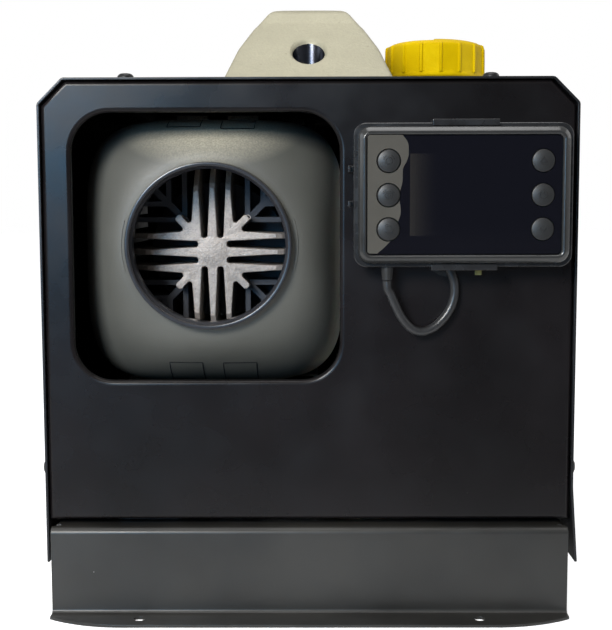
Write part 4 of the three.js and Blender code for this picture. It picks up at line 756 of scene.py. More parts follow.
combined(handle, [slab("section", [tuple(p) for p in front_outline], y_run, -130, 130, handle_alloy)], "INTERSECT")
edge_round = handle.modifiers.new("rounding", "BEVEL")
edge_round.width = 3.2 * mm
edge_round.segments = 4
edge_round.limit_method = "ANGLE"
edge_round.angle_limit = math.radians(48)
remesh = handle.modifiers.new("skin", "REMESH")
remesh.mode = "VOXEL"
remesh.voxel_size = 1.0 * mm
relax = handle.modifiers.new("soften", "SMOOTH")
relax.factor = 0.5
relax.iterations = 5
settled(handle)


def mouth_row(radius, above, end):
    """A circle seen from above, laid on the leg's slope or on a level."""
    fall = (LEG_END[1] - LEG_START[1]) / (LEG_START[0] - LEG_END[0])
    row = []
    for i in range(96):
        angle = 2 * math.pi * i / 96
        reach = BOLT_Y + radius * math.sin(angle)
        z = LEG_START[1] + (LEG_START[0] - reach) * fall + above if above > -9 else MOUTH_FLOOR
        row.append((end * radius * math.cos(angle), end * reach, z))
    return row


handle_floor = brick("floor", (-60, -140, 200), (60, 140, HANDLE_SEAT), handle_alloy)
mouths = [lofted("mouth", [
    mouth_row(r, h, end) for r, h in ((12, 30), (12, 2), (10.7, 0.35), (10.1, -0.25), (9.5, -0.6), (9.05, -1.3),
                                      (8.9, -2.4), (8.9, -10))], handle_alloy) for end in (-1, 1)]
cut(handle, handle_floor, *mouths,
    *[rod("bore", BOLT_HOLE, 260, 274, (0, y), "Z", handle_alloy, 48)
      for y in (-BOLT_Y, BOLT_Y)])
handle.data.set_sharp_from_angle(angle=math.radians(60))
# Painted shade: the wall of each screw mouth is the same casting, painted dark with a bluish cast for the shade down
# in the hole and the bluish reflection in it.
shaded_bore_wall = material_of("handle_mouth_painted_shade", (0.035, 0.036, 0.045), 0.24, 0.85)
mottled(shaded_bore_wall, 3, 3, (0.02, 0.02, 0.026), (0.05, 0.055, 0.07))
relief(shaded_bore_wall, [(noise(shaded_bore_wall, 0.7, 2), 0.02)])
handle.data.materials.append(shaded_bore_wall)
for face in handle.data.polygons:
    spot = face.center / mm
    off_axis = math.hypot(spot.x, abs(spot.y) - BOLT_Y)
    rise = LEG_START[1] + (LEG_START[0] - abs(spot.y)) * (LEG_END[1] - LEG_START[1]) / (LEG_START[0] - LEG_END[0])
    if off_axis < 9.2 and spot.z < rise - 2:
        face.material_index = 1
fitted(handle, "root", "cast_alloy", "carry_handle")

screw_steel = material_of("socket_screw_steel", (0.12, 0.125, 0.15), 0.3, 0.9)
cloudy_gloss(screw_steel, 2, 2, 0.22, 0.42)
for end, row in ((-1, "front"), (1, "rear")):
    seat = MOUTH_FLOOR + 0.3
    screw = turned(f"handle_bolt_{row}", [
        (0, 253), (4, 253), (4, seat), (6.5, seat), (6.5, seat + 7.3), (6.1, seat + 8), (0, seat + 8)],
        (0, end * BOLT_Y), "Z", screw_steel, 64)
    cut(screw, rod("socket", 3.4, seat + 4, seat + 12, (0, end * BOLT_Y), "Z", screw_steel, 6))
    fitted(screw, "root", "plated_steel", f"handle_screw_{row}")

# ---------------------------------------------------------------- outlet hood
# A dark grey nylon moulding with a fine spark-eroded grain. It blends from the
# squarish heater body to the round outlet ring, and carries four plain framed
# plates and two clip ridges, a little proud.
HOOD_BACK = -110.3
OUTLET_Z = 183.3
RING_INNER = 39.5
RING_OUTER = 41.6
RING_FRONT = -182.0
RING_LENGTH = 6.0
HOOD_WALL = 2.6
HOOD_STEPS = 128
BODY_WIDTH, BODY_HEIGHT = 137.0, 140.0

hood_nylon = material_of("hood_nylon", (0.075, 0.074, 0.062), 0.5, IOR=1.5)
hood_cloud = spread(hood_nylon, noise(hood_nylon, 45, 3), 0.3, 0.7)
hood_tone = mixed(hood_nylon, hood_cloud, (0.084, 0.083, 0.072), (0.108, 0.107, 0.094))
# Painted highlight: a pale patch, broken up by the fine grain, is painted on the hood's top above the ring, about 245
# mm high, for the sheen of the light from above and in front.
highlight_place = node(hood_nylon, "ShaderNodeMapping", [
    ("Vector", node(hood_nylon, "ShaderNodeTexCoord").outputs["Object"]),
    ("Location", (UNIT_X * mm * -20, 0, -0.245 * 42)), ("Scale", (20, 0, 42))])
painted_highlight = node(hood_nylon, "ShaderNodeVectorMath", [(0, highlight_place.outputs[0])], operation="LENGTH").outputs["Value"]
painted_highlight = spread(hood_nylon, painted_highlight, 0.15, 1.0, 1, 0)
highlight_grain = spread(hood_nylon, noise(hood_nylon, 0.9, 3), 0.35, 0.65, 0.55, 1)
painted_highlight = reckoned(hood_nylon, "MULTIPLY", painted_highlight, highlight_grain)
wire(hood_nylon, "Base Color", mixed(hood_nylon, painted_highlight, hood_tone, (0.62, 0.57, 0.44)))
cloudy_gloss(hood_nylon, 0.7, 2, 0.42, 0.56)
relief(hood_nylon, [(noise(hood_nylon, 0.7, 2), 0.05), (noise(hood_nylon, 9, 2), 0.05)])
ring_black = material_of("ring_face", (0.022, 0.022, 0.025), 0.24, IOR=1.5)
mottled(ring_black, 6, 3, (0.016, 0.016, 0.019), (0.03, 0.03, 0.034))
relief(ring_black, [(noise(ring_black, 1.2, 2), 0.03)])


def squarish(half_width, half_height, power, y, z, steps):
    ring = []
    for i in range(steps):
        angle = 2 * math.pi * i / steps
        c, s = math.cos(angle), math.sin(angle)
        ring.append((UNIT_X + half_width * math.copysign(abs(c) ** (2 / power), c), y,
                     z + half_height * math.copysign(abs(s) ** (2 / power), s)))
    return ring


def blended(inset, collar, widen, y, z):
    """A row between the round collar, at widen 0, and the squarish body, at 1."""
    half_width, half_height = BODY_WIDTH / 2 - inset, BODY_HEIGHT / 2 - inset
    return squarish(collar + (half_width - collar) * widen, collar + (half_height - collar) * widen,
                    2 + 2.4 * widen ** 2, y, z, HOOD_STEPS)


def hood_rows(inset, rows=26):
    collar = RING_OUTER - inset
    start = RING_FRONT + RING_LENGTH + inset
    made = []
    for row in range(rows + 1):
        angle = math.pi / 2 * row / rows
        widen = math.sin(angle)
        made.append(blended(inset, collar, widen, start + 48 * (1 - math.cos(angle)), OUTLET_Z - 4.8 * widen))
    made.append(squarish(BODY_WIDTH / 2 - inset, BODY_HEIGHT / 2 - inset, 4.4, HOOD_BACK, UNIT_Z, HOOD_STEPS))
    return made


def ring_row(radius, y):
    return squarish(radius, radius, 2, y, OUTLET_Z, HOOD_STEPS)


hood_skin = [ring_row(radius, RING_FRONT + back) for radius, back in (
    (38.4, 12), (38.4, 5), (RING_INNER, 3.8), (RING_INNER, 0.6), (RING_INNER + 0.15, 0.2), (RING_INNER + 0.4, 0.05),
    (RING_OUTER - 0.35, 0), (RING_OUTER - 0.12, 0.12), (RING_OUTER, 0.4), (RING_OUTER, 4.9), (RING_OUTER + 0.25, 5.6))]
hood_skin += hood_rows(0)[1:] + hood_rows(HOOD_WALL)[::-1]
hood = lofted("outlet_hood_moulding", hood_skin, hood_nylon, closed=True, crease=40)
hood.data.materials.append(ring_black)
for face in hood.data.polygons:
    off_axis = math.hypot(face.center.x / mm - UNIT_X, face.center.z / mm - OUTLET_Z)
    if off_axis < RING_OUTER - 0.2 and face.center.y / mm < RING_FRONT + 11:
        face.material_index = 1
hood_tree = BVHTree.FromObject(hood, bpy.context.evaluated_depsgraph_get())


def on_hood(x, z):
    """The hood's outer face under a point of the front view."""
    hit = hood_tree.ray_cast(Vector((x, -260, z)) * mm, Vector((0, 1, 0)))[0]
    return hit.y / mm if hit else HOOD_BACK


def laid_on_hood(name, path, width, proud):
    """A low ridge along a path of [x, z] points on the hood's face."""
    rows = []
    for i, (x, z) in enumerate(path):
        before, after = Vector(path[max(i - 1, 0)]), Vector(path[min(i + 1, len(path) - 1)])
        aside = (after - before).normalized().orthogonal() * width / 2
        row = []
        for share, lift in ((-1, -0.6), (-0.7, proud), (0.7, proud), (1, -0.6)):
            u, v = x + aside.x * share, z + aside.y * share
            row.append((u, on_hood(u, v) - lift, v))
        rows.append(row)
    return lofted(name, rows, hood_nylon)


def label_plate(name, left, right, bottom, top, proud, steps=10):
    """A bare raised rectangle that follows the hood's face."""
    outer, inner = [], []
    for j in range(steps + 1):
        for i in range(steps + 1):
            x, z = left + (right - left) * i / steps, bottom + (top - bottom) * j / steps
            y = on_hood(x, z)
            outer.append((x, y - proud, z))
            inner.append((x, y + 0.8, z))
    count = steps + 1
    faces = []
    for j in range(steps):
        for i in range(steps):
            a = j * count + i
            face = (a, a + 1, a + count + 1, a + count)
            faces.append(face)
            faces.append(tuple(k + count * count for k in face))
    rim = [i for i in range(count)] + [j * count + steps for j in range(1, count)]
    rim += [steps * count + i for i in range(steps - 1, -1, -1)] + [j * count for j in range(steps - 1, 0, -1)]
    for a, b in zip(rim, rim[1:] + rim[:1]):
        faces.append((a, b, b + count * count, a + count * count))
    return shaped(name, outer + inner, faces, hood_nylon, 30)


plates = {
    "plate_low_left": (-71.4, -54.5, 111.5, 123.2), "plate_low_right": (-43.8, -26.8, 111.3, 123.0),
    "plate_high_left": (-72.5, -55.4, 243.3, 252), "plate_high_right": (-44.7, -27.6, 242.3, 252),
}
fitted(hood, "root", "hood_plastic", "outlet_hood")
for name, (left, right, bottom, top) in plates.items():
    fitted(label_plate(name, left, right, bottom, top, 0.22), "root", "hood_plastic")
    edges = {"side_a": ((left, bottom), (left, top)), "side_b": ((right, bottom), (right, top)),
             "low": ((left, bottom), (right, bottom)), "high": ((left, top), (right, top))}
    for edge, (start, end) in edges.items():
        path = [tuple(Vector(start).lerp(Vector(end), i / 8)) for i in range(9)]
        # Painted shade: each frame is a low ridge given the ring's near-black, standing for the thin shade lines
        # around the plate.
        painted_shade_line = laid_on_hood(f"{name}_{edge}", path, 0.6, 0.36)
        painted_shade_line.data.materials[0] = ring_black
        fitted(painted_shade_line, "root", "hood_plastic")


def ring_arc(radius, low, high, side):
    return [(UNIT_X + side * radius * math.cos(a), OUTLET_Z + radius * math.sin(a))
            for a in (math.radians(low + (high - low) * i / 14) for i in range(15))]


fitted(laid_on_hood("clip_ridge_left", ring_arc(44.3, -17, 17, -1), 1.3, 0.5), "root", "hood_plastic")
fitted(laid_on_hood("clip_ridge_right", ring_arc(44.3, -17, 17, 1), 1.3, 0.5), "root", "hood_plastic")

# ---------------------------------------------------------------- heat exchanger
# A die-cast aluminium block, bare and speckled: a star of parallel fins with four
# short diagonal bars in front, and branching fins deeper in. It hangs in the
# hood's mouth on the burner behind it.
STAR_FRONT = -142.0
STAR_X = -51.0
FIN_PITCH = 8.45
HUB_REACH = 7.6
FIN_ROOT, FIN_TIP = 2.65, 1.3
FIN_FLAT = 33.5
BAR_HALF = 1.9
BAR_REACH = 26.6
FIN_FAR = 112.0
ENVELOPE = 56.0

exchanger_alloy = sand_cast("exchanger_alloy", (0.47, 0.42, 0.385), 0.35, 0.45, 0.9, 0.3, 0.45, 0.9)
# Painted shade: the block deeper in is the same bare casting as the star, given a dark bluish tone for the shade
# inside the hood.
painted_shade_alloy = sand_cast("exchanger_alloy_painted_shade", (0.045, 0.049, 0.06), 0.35, 0.55, 0.6, 0.08, 0.6, 0.4)


def star_outline(inset):
    """The star seen from the front, drawn in by the width of its rounded edge."""
    tip, root, bar = FIN_TIP - inset, FIN_ROOT - inset, BAR_HALF - inset
    slot, reach = HUB_REACH - inset, BAR_REACH - inset
    eighth = [
        (tip, FIN_FAR), (tip, FIN_FLAT), (root, slot), (FIN_PITCH - root, slot),
        (FIN_PITCH - tip, FIN_FLAT), (FIN_PITCH - tip, FIN_FAR), (FIN_PITCH + tip, FIN_FAR),
        (FIN_PITCH + tip, FIN_FLAT), (FIN_PITCH + root, FIN_PITCH + root + bar * math.sqrt(2)),
        ((reach - bar) / math.sqrt(2), (reach + bar) / math.sqrt(2))]
    quarter = eighth + [(z, x) for x, z in reversed(eighth)]
    line = []
    for facing in range(4):
        for x, z in quarter:
            for _ in range(facing):
                x, z = z, -x
            line.append((x, z))
    return [(STAR_X + p.x, UNIT_Z + p.y) for p in bent(line + [line[0]], 1.45, 5)[:-1]]


star = lofted("exchanger_star", [
    [y_run(u, v, y) for u, v in star_outline(inset)]
    for inset, y in ((0.4, STAR_FRONT), (0.14, STAR_FRONT + 0.12), (0, STAR_FRONT + 0.4), (0, 10))], exchanger_alloy)
slope = turned("slope", [
    (0, STAR_FRONT - 1), (FIN_FLAT - 2, STAR_FRONT - 1), (FIN_FLAT + 3, STAR_FRONT + 1.5), (80, STAR_FRONT + 53),
    (80, 15), (0, 15)],
    UNIT_AXIS, "Y", exchanger_alloy, 96)
fin_limit = [(x, z) for x, y, z in squarish(ENVELOPE, ENVELOPE, 6, 0, UNIT_Z, 96)]
envelope = slab("envelope", fin_limit, y_run, STAR_FRONT - 2, 12, exchanger_alloy)
combined(in_triangles(star), [slope, in_triangles(envelope)], "INTERSECT")
settled(star, 20)
fitted(star, "root", "exchanger_alloy", "heat_exchanger")


def set_on_axis(made, angle):
    """Moves a piece drawn about the origin onto the unit's axis, turned by an angle."""
    made.data.transform(Matrix.Translation(Vector((UNIT_X, 0, UNIT_Z)) * mm) @ Matrix.Rotation(angle, 4, "Y"))
    return made


def around(made, quarter):
    """Turns a piece about the unit's own axis by quarter turns."""
    centre = Matrix.Translation(Vector((UNIT_X, 0, UNIT_Z)) * mm)
    made.data.transform(centre @ Matrix.Rotation(quarter * math.pi / 2, 4, "Y") @ centre.inverted())
    return made


deep_front = STAR_FRONT + 13
block = rod("exchanger_block", 37, -108, 18, UNIT_AXIS, "Y", painted_shade_alloy, 72)
branches = []
for quarter in range(4):
    for k in (2, 3, 4, 5):
        for side in (-1, 1):
            x = UNIT_X + side * k * FIN_PITCH
            branches.append(around(brick("branch", (x - 1.35, deep_front, UNIT_Z + k * FIN_PITCH - 1.35),
                                         (x + 1.35, 15, UNIT_Z + ENVELOPE - 0.4), painted_shade_alloy), quarter))
    spine = brick("spine", (-1.7, deep_front, 18.5), (1.7, 15, 74), painted_shade_alloy)
    branches.append(around(set_on_axis(spine, math.pi / 4), quarter))
welded(block, *branches)
rear_flange = slab("flange", fin_limit, y_run, 10, 20, painted_shade_alloy)
inside = slab("inside", fin_limit, y_run, -200, 20, painted_shade_alloy)
combined(in_triangles(block), [in_triangles(inside)], "INTERSECT")
welded(block, in_triangles(rear_flange))
cut(block, rod("bore", 31, -92, 21, UNIT_AXIS, "Y", painted_shade_alloy, 64),
    rod("bore", 10.5, 121, 150, (UNIT_X, -10), "Z", painted_shade_alloy, 40),
    rod("bore", 4.5, 190, 290, (UNIT_X, -2), "Z", painted_shade_alloy, 40),
    rod("pad", 9, 223.5, 290, (UNIT_X, -60), "Z", painted_shade_alloy, 40))
in_triangles(block)
fitted(block, "root", "exchanger_alloy", "heat_exchanger")
for name, x, z in (("mark_upper_left", -68.2, 196.9), ("mark_upper_right", -32.0, 196.9),
                   ("mark_lower_left", -67.9, 160.6)):
    mark = turned(f"ejector_{name}", [
        (0.95, STAR_FRONT + 0.4), (0.95, STAR_FRONT - 0.12), (1.3, STAR_FRONT - 0.12), (1.3, STAR_FRONT + 0.4),
        (0.95, STAR_FRONT + 0.4)], (x, z), "Y", exchanger_alloy, 32)
    fitted(mark, "root", "exchanger_alloy")

# ---------------------------------------------------------------- heater body, burner and blower
# What the hood and the case hide: the nylon half-shells, the burner tube, the
# blower and its motor, and the stand. Their solids are right as they are, so
# they only take their finishes.
inner_finishes = {}


def finish_of(key, tone, roughness, metallic, size_mm, depth_mm):
    """A quiet mottled finish for a piece that keeps its CAD solid."""
    if key not in inner_finishes:
        material = material_of(key, tone, roughness, metallic)
        mottled(material, size_mm * 12, 3, tuple(c * 0.8 for c in tone), tuple(c * 1.15 for c in tone), firm=True)
        cloudy_gloss(material, size_mm * 5, 3, max(roughness - 0.08, 0.05), roughness + 0.08)
        relief(material, [(noise(material, size_mm, 2), depth_mm)])
        inner_finishes[key] = material
    return inner_finishes[key]


def refinish(names, material):
    for name in names:
        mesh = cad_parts[name].data
        mesh.materials.clear()
        mesh.materials.append(material)


refinish(["upper_shell", "lower_shell", "overheat_sensor", "combustion_impeller", "power_gland"],
         finish_of("body_nylon", (0.009, 0.009, 0.0095), 0.55, 0.0, 0.6, 0.03))
refinish(["heater_stand", "combustion_chamber", "blower_motor", "tank_strap_front", "tank_strap_rear", "glow_plug"],
         finish_of("plain_steel_sheet", (0.33, 0.34, 0.35), 0.38, 0.9, 0.8, 0.02))
refinish(["motor_shaft", "fuel_pump"], finish_of("bright_zinc", (0.5, 0.51, 0.53), 0.3, 0.95, 1.0, 0.01))
refinish(["blower_housing"], handle_alloy)
refinish(["burner_gasket"], finish_of("gasket_fibre", (0.14, 0.14, 0.13), 0.9, 0.0, 0.4, 0.06))
refinish(["foot_gasket", "cap_gasket", "fuel_hose_tank", "fuel_hose_filter", "fuel_hose_burner", "pump_bracket",
          "panel_grommet", "cable_boot"], finish_of("black_rubber", (0.012, 0.012, 0.012), 0.62, 0.0, 0.7, 0.03))
refinish(["control_board", "controller_board"], finish_of("board_varnish", (0.012, 0.09, 0.03), 0.35, 0.0, 1.5, 0.02))
refinish(["fuel_filter"], finish_of("filter_nylon", (0.62, 0.6, 0.52), 0.4, 0.0, 1.0, 0.02))
refinish(["tank_outlet_fitting"], finish_of("turned_brass", (0.6, 0.42, 0.16), 0.3, 0.95, 0.6, 0.01))

# ---------------------------------------------------------------- main fan and intake hood
# A seven-bladed nylon fan on the motor's shaft, behind a round intake hood with
# a wire-like guard moulded into its mouth.
fan_nylon = finish_of("fan_nylon", (0.022, 0.022, 0.023), 0.42, 0.0, 0.5, 0.02)
FAN_FRONT, FAN_BACK = 101.3, 123.3
fan = turned("fan_hub", [
    (0, 120.3), (18.8, 120.3), (19.5, 119.5), (19.5, FAN_FRONT), (22, FAN_FRONT), (22, 120), (21.2, 121.8),
    (19, FAN_BACK), (0, FAN_BACK)], UNIT_AXIS, "Y", fan_nylon, 72)
vanes = []
for k in range(7):
    rows = []
    for step in range(13):
        share = step / 12
        radius = 20 + 41 * share
        angle = math.radians(38 + 22 * share)
        along = Vector((math.sin(angle), math.cos(angle), 0))
        across = Vector((math.cos(angle), -math.sin(angle), 0))
        centre = Vector((0, 112.3, radius))
        section = [(-11, 0), (-7, 0.75), (0, 0.95), (7, 0.75), (11, 0), (7, -0.75), (0, -0.95), (-7, -0.75)]
        curve = [centre + along * c + across * (t + 1.2 * (1 - (c / 11) ** 2)) for c, t in section]
        spin = Matrix.Rotation(2 * math.pi * k / 7, 3, "Y")
        rows.append([tuple(spin @ p + Vector((UNIT_X, 0, UNIT_Z))) for p in curve])
    vanes.append(lofted("vane", rows, fan_nylon, crease=50))
welded(fan, *vanes)
cut(fan, rod("bore", 2.8, 90, 140, UNIT_AXIS, "Y", fan_nylon, 32))
fitted(fan, "rotor", "black_plastic", "main_fan")

intake_nylon = finish_of("intake_nylon", (0.02, 0.02, 0.021), 0.5, 0.0, 0.5, 0.03)
INTAKE_BACK = 187.0


def intake_rows(inset, rows=20):
    collar = 48 - inset
    made = [squarish(BODY_WIDTH / 2 - inset, BODY_HEIGHT / 2 - inset, 4.4, 120.3, UNIT_Z, HOOD_STEPS)]
    for row in range(rows + 1):
        angle = math.pi / 2 * (1 - row / rows)
        made.append(blended(inset, collar, math.sin(angle), INTAKE_BACK - 8 - inset - 34 * (1 - math.cos(angle)),
                            UNIT_Z))
    made.append(squarish(collar, collar, 2, INTAKE_BACK, UNIT_Z, HOOD_STEPS))
    return made


intake = lofted("intake_hood_moulding", intake_rows(0) + intake_rows(HOOD_WALL)[::-1], intake_nylon, closed=True,
                crease=40)
guard = []
for radius in (12, 30):
    guard.append(turned("guard_ring", [
        (radius - 1, 183.2), (radius - 0.8, 183), (radius + 0.8, 183), (radius + 1, 183.2), (radius + 1, 185.4),
        (radius, 186), (radius - 1, 185.4), (radius - 1, 183.2)], UNIT_AXIS, "Y", intake_nylon, 96))
for k in range(6):
    spoke = brick("spoke", (-1.1, 183.5, 11.5), (1.1, 185.5, 46.5), intake_nylon)
    guard.append(set_on_axis(spoke, k * math.pi / 3))
welded(intake, *guard)
fitted(intake, "root", "black_plastic", "intake_hood")

# ---------------------------------------------------------------- pipe stubs
# The exhaust and combustion-air sleeves: thin stainless tube, 24 mm outside,
# that comes down through the deck.
stub_steel = finish_of("stub_steel", (0.42, 0.41, 0.4), 0.32, 0.95, 0.6, 0.015)
for key, cad_node in (("exhaust", "exhaust_pipe"), ("air", "air_intake_pipe")):
    stub = turned(f"{key}_stub", [
        (10.5, 14.3), (10.8, 14), (11.7, 14), (12, 14.3), (12, 24), (12.2, 24.6), (12.2, 26), (12, 26.6), (12, 119.2),
        (16, 119.2), (16, 122.2), (10.5, 122.2), (10.5, 14.3)], (UNIT_X, pipe_places[key]), "Z", stub_steel, 64)
    fitted(stub, "root", "sheet_steel", cad_node)

# ---------------------------------------------------------------- fuel tank and grommet
# A blow-moulded natural polythene tank, held down by two steel bands. Its neck,
# with a coarse thread, comes up through a rubber ring in the cover.
tank_natural = material_of("tank_polythene", (0.66, 0.63, 0.54), 0.42, Subsurface_Weight=0.15,
                           Subsurface_Scale=0.004)
mottled(tank_natural, 60, 3, (0.6, 0.57, 0.47), (0.72, 0.7, 0.62), firm=True)
relief(tank_natural, [(noise(tank_natural, 1.4, 2), 0.04)])
TANK = {"x": 74.0, "y": 5.0, "width": 100.0, "depth": 250.0, "bottom": 44.8, "top": 252.0, "radius": 14.0}


def tank_rows(inset):
    width, depth = TANK["width"] - 2 * inset, TANK["depth"] - 2 * inset
    low, high = TANK["bottom"] + inset, TANK["top"] - inset
    levels = [(5 * u, 5 * v) for u, v in quarter_arc(6)]
    rows = [(i, low + r) for i, r in levels] + [(i, high - r) for i, r in reversed(levels)]
    return [[(u, v, z) for u, v in rounded_rectangle(width - 2 * i, depth - 2 * i, TANK["radius"] - inset,
                                                     (TANK["x"], TANK["y"]), 8)] for i, z in rows]


tank = lofted("tank_moulding", tank_rows(0), tank_natural)
thread = []
for turns in range(2):
    z = 297.2 - 5.2 * turns
    thread.append(turned("thread", [(23, z - 1.8), (24, z - 1.6), (25.6, z - 0.5), (25.6, z + 0.5), (24, z + 1.6),
                                    (23, z + 1.8), (23, z - 1.8)], NECK, "Z", tank_natural, 96))
welded(tank, turned("neck", [(0, 249), (24, 249), (24, 300.4), (23.4, 301), (0, 301)], NECK, "Z", tank_natural, 96))
welded(tank, *thread)
cut(tank, lofted("hollow", tank_rows(3), tank_natural),
    rod("mouth", 20.5, 240, 303, NECK, "Z", tank_natural, 96),
    rod("outlet", 4, 22, 30, (-60, 66), "X", tank_natural, 32))
fitted(tank, "root", "tank_plastic", "fuel_tank")

grommet = turned("neck_ring", [
    (24.3, 261.8), (29.0, 261.5), (29.4, 261.9), (29.4, 263.5), (26.4, 263.5), (26.4, 265.3), (29.4, 265.3),
    (29.4, 266), (28.8, 267.1), (27.6, 267.3), (24.3, 267.3), (24.3, 261.8)],
    NECK, "Z", inner_finishes["black_rubber"], 96)
fitted(grommet, "root", "rubber_black", "tank_grommet")

# ---------------------------------------------------------------- fuel cap
# A yellow moulded screw cap: sixteen thin grip ribs with flat faces between
# them, a rolled bottom edge and a low crown with one groove across it.
cap_yellow = material_of("cap_yellow", (0.72, 0.5, 0.001), 0.5, IOR=1.45, Specular_Tint=(1, 0.8, 0.03, 1))
mottled(cap_yellow, 18, 3, (0.57, 0.37, 0.0005), (0.66, 0.45, 0.001), firm=True)
cloudy_gloss(cap_yellow, 2.5, 3, 0.42, 0.58)
relief(cap_yellow, [(noise(cap_yellow, 0.7, 2), 0.03), (noise(cap_yellow, 12, 2), 0.08)])
CAP_BOTTOM, CAP_TOP = 281.0, 306.2
CAP_RADIUS = 32.0
CROWN_RADIUS = 27.4
CAP_BORE, CAP_ROOF = 26.6, 303.3
CAP_STEPS = 320
CAP_RIBS = 16
RIB_PHASE = math.radians(-89)


def eased_step(value, low, high):
    share = min(max((value - low) / (high - low), 0), 1)
    return share * share * (3 - 2 * share)


def cap_ring(radius, z, rib=0.0, flat=0.0):
    """The grip's outline: thin raised ribs, and flat faces between them."""
    ring = []
    for i in range(CAP_STEPS):
        angle = 2 * math.pi * i / CAP_STEPS
        share = ((angle - RIB_PHASE) / (2 * math.pi) * CAP_RIBS) % 1
        off = abs(share - round(share)) * 2 * math.pi / CAP_RIBS
        half = math.pi / CAP_RIBS
        facet = radius * (1 - flat * (1 - math.cos(half) / math.cos(half - off)))
        reach = facet - rib * eased_step(off * radius, 0.55, 1.25)
        ring.append((NECK[0] + reach * math.cos(angle), NECK[1] + reach * math.sin(angle), z))
    return ring


cap_rows = [cap_ring(*row) for row in (
    (29.6, CAP_BOTTOM), (30.4, 281.15), (31.1, 281.8), (31.3, 282.6), (31.1, 283.4), (31.2, 283.9, 0.2),
    (31.9, 284.5, 0.7, 0.8), (CAP_RADIUS, 285.2, 0.85, 1), (CAP_RADIUS, 294, 0.9, 1), (31.9, 300.2, 0.9, 1),
    (31.6, 301.4, 0.85, 0.9), (31.0, 302.0, 0.7, 0.6), (30.2, 302.3, 0.4, 0.3), (29.2, 302.3), (28.5, 302.4),
    (28.0, 302.8), (CROWN_RADIUS, 303.4))]
cap_rows += [cap_ring(r, CAP_TOP - 2.8 * (r / CROWN_RADIUS) ** 3.2) for r in range(26, 0, -1)]
cap = lofted("tank_cap", cap_rows, cap_yellow, crease=50)
for spot in cap.data.vertices:
    x, z = spot.co.x / mm - NECK[0], spot.co.z / mm
    off_axis = math.hypot(x, spot.co.y / mm - NECK[1])
    if z > 302.7 and off_axis < 26.9:
        low_side = 1 - eased_step(x, -3.2, -1.8)
        groove = eased_step(x, -10, -8.6) * low_side
        spot.co.z -= (1.2 * low_side + 0.55 * groove) * (1 - eased_step(off_axis, 17, 26.5)) * mm
cut(cap, turned("cap_bore", [(0, 280), (CAP_BORE, 280), (CAP_BORE, 301), (24, CAP_ROOF), (0, CAP_ROOF)],
                NECK, "Z", cap_yellow, 96))
fitted(cap, "cap", "cap_yellow", "fuel_cap")

# ---------------------------------------------------------------- controller
# The wall controller: a black moulded back, a bezel with a rounded rim, a dark
# screen and six domed keys. It sits between two tongues of a moulded holder.
CONTROL = (73.3, 208.2)
HOLDER_BACK, HOLDER_FRONT = -196.8, -198.3
SHELL_REAR, SHELL_EDGE = -198.6, -207.0
BEZEL_REAR, BEZEL_FRONT = -207.3, -212.5
GLASS_FRONT, GLASS_REAR = -212.1, -210.6
SHELL_WIDTH, SHELL_HEIGHT = 103.8, 68.3
RIM_WIDTH, RIM_HEIGHT = 99.8, 64.3

case_plastic = finish_of("controller_plastic", (0.016, 0.016, 0.017), 0.26, 0.0, 1.2, 0.002)


def front_row(width, height, radius, y):
    return [(u, y, v) for u, v in rounded_rectangle(width, height, radius, CONTROL, 10)]


holder = lofted("wall_holder", [front_row(86, 48, 4, HOLDER_FRONT), front_row(86, 48, 4, HOLDER_BACK)], case_plastic)
blocks = [brick("rail", (73 + s * 24 - 5, -197.3, 196.5), (73 + s * 24 + 5, -191.8, 232.5), case_plastic)
          for s in (-1, 1)]
for side, offset in ((1, 1.0), (-1, 0.6)):
    left, right = CONTROL[0] - 15.7 + offset, CONTROL[0] + 15.7 + offset
    inner = CONTROL[1] + side * (SHELL_HEIGHT / 2 + 0.1)
    outer = inner + side * 1.3
    root = CONTROL[1] + side * 22
    hook = CONTROL[1] + side * (RIM_HEIGHT / 2 + 0.3)
    for name, front, back, low, high in (("arm", HOLDER_FRONT, HOLDER_BACK, root, outer),
                                         ("tongue", SHELL_EDGE - 1.3, HOLDER_BACK, inner, outer),
                                         ("hook", SHELL_EDGE - 1.3, SHELL_EDGE - 0.1, hook, outer)):
        blocks.append(brick(name, (left, front, min(low, high)), (right, back, max(low, high)), case_plastic))
for rise in (12.2, -4.5):
    z = 208.5 + rise
    blocks.append(brick("lug", (19.0, HOLDER_FRONT, z - 1.6), (32, HOLDER_BACK, z + 1.6), case_plastic))
    blocks.append(brick("lug", (19.0, SHELL_EDGE + 3, z - 1.6), (20.2, HOLDER_BACK, z + 1.6), case_plastic))
welded(holder, *blocks)
eased(holder, 0.3, 3, 40)
fitted(holder, "root", "black_plastic", "controller_holder")

shell_rows = []
for draw, radius, y in ((4, 4.5, SHELL_REAR), (2.4, 5.2, SHELL_REAR - 0.5), (0.6, 5.8, SHELL_REAR - 1.6),
                        (0, 6, SHELL_REAR - 3), (0.2, 6, SHELL_EDGE + 0.8), (0.5, 5.9, SHELL_EDGE + 0.25),
                        (1.1, 5.7, SHELL_EDGE)):
    shell_rows.append(front_row(SHELL_WIDTH - draw, SHELL_HEIGHT - draw, radius, y))
spring_brass = finish_of("holder_spring_brass", (0.30, 0.27, 0.10), 0.45, 0.6, 0.5, 0.02)
spring = brick("holder_spring", (80.0, -200.6, 169.9), (83.2, -199.9, 172.9), spring_brass)
eased(spring, 0.25, 2)
fitted(spring, "root", "brass")

back = lofted("controller_shell", shell_rows, case_plastic, crease=50)
cut(back, lofted("hollow", [front_row(SHELL_WIDTH - 8, SHELL_HEIGHT - 8, 4, SHELL_REAR - 1.7),
                            front_row(SHELL_WIDTH - 8, SHELL_HEIGHT - 8, 4, SHELL_EDGE - 1)], case_plastic),
    rod("boot_hole", 3.2, 168, 181, (37.7, -202.8), "Z", case_plastic, 40))
fitted(back, "root", "black_plastic", "controller_back")

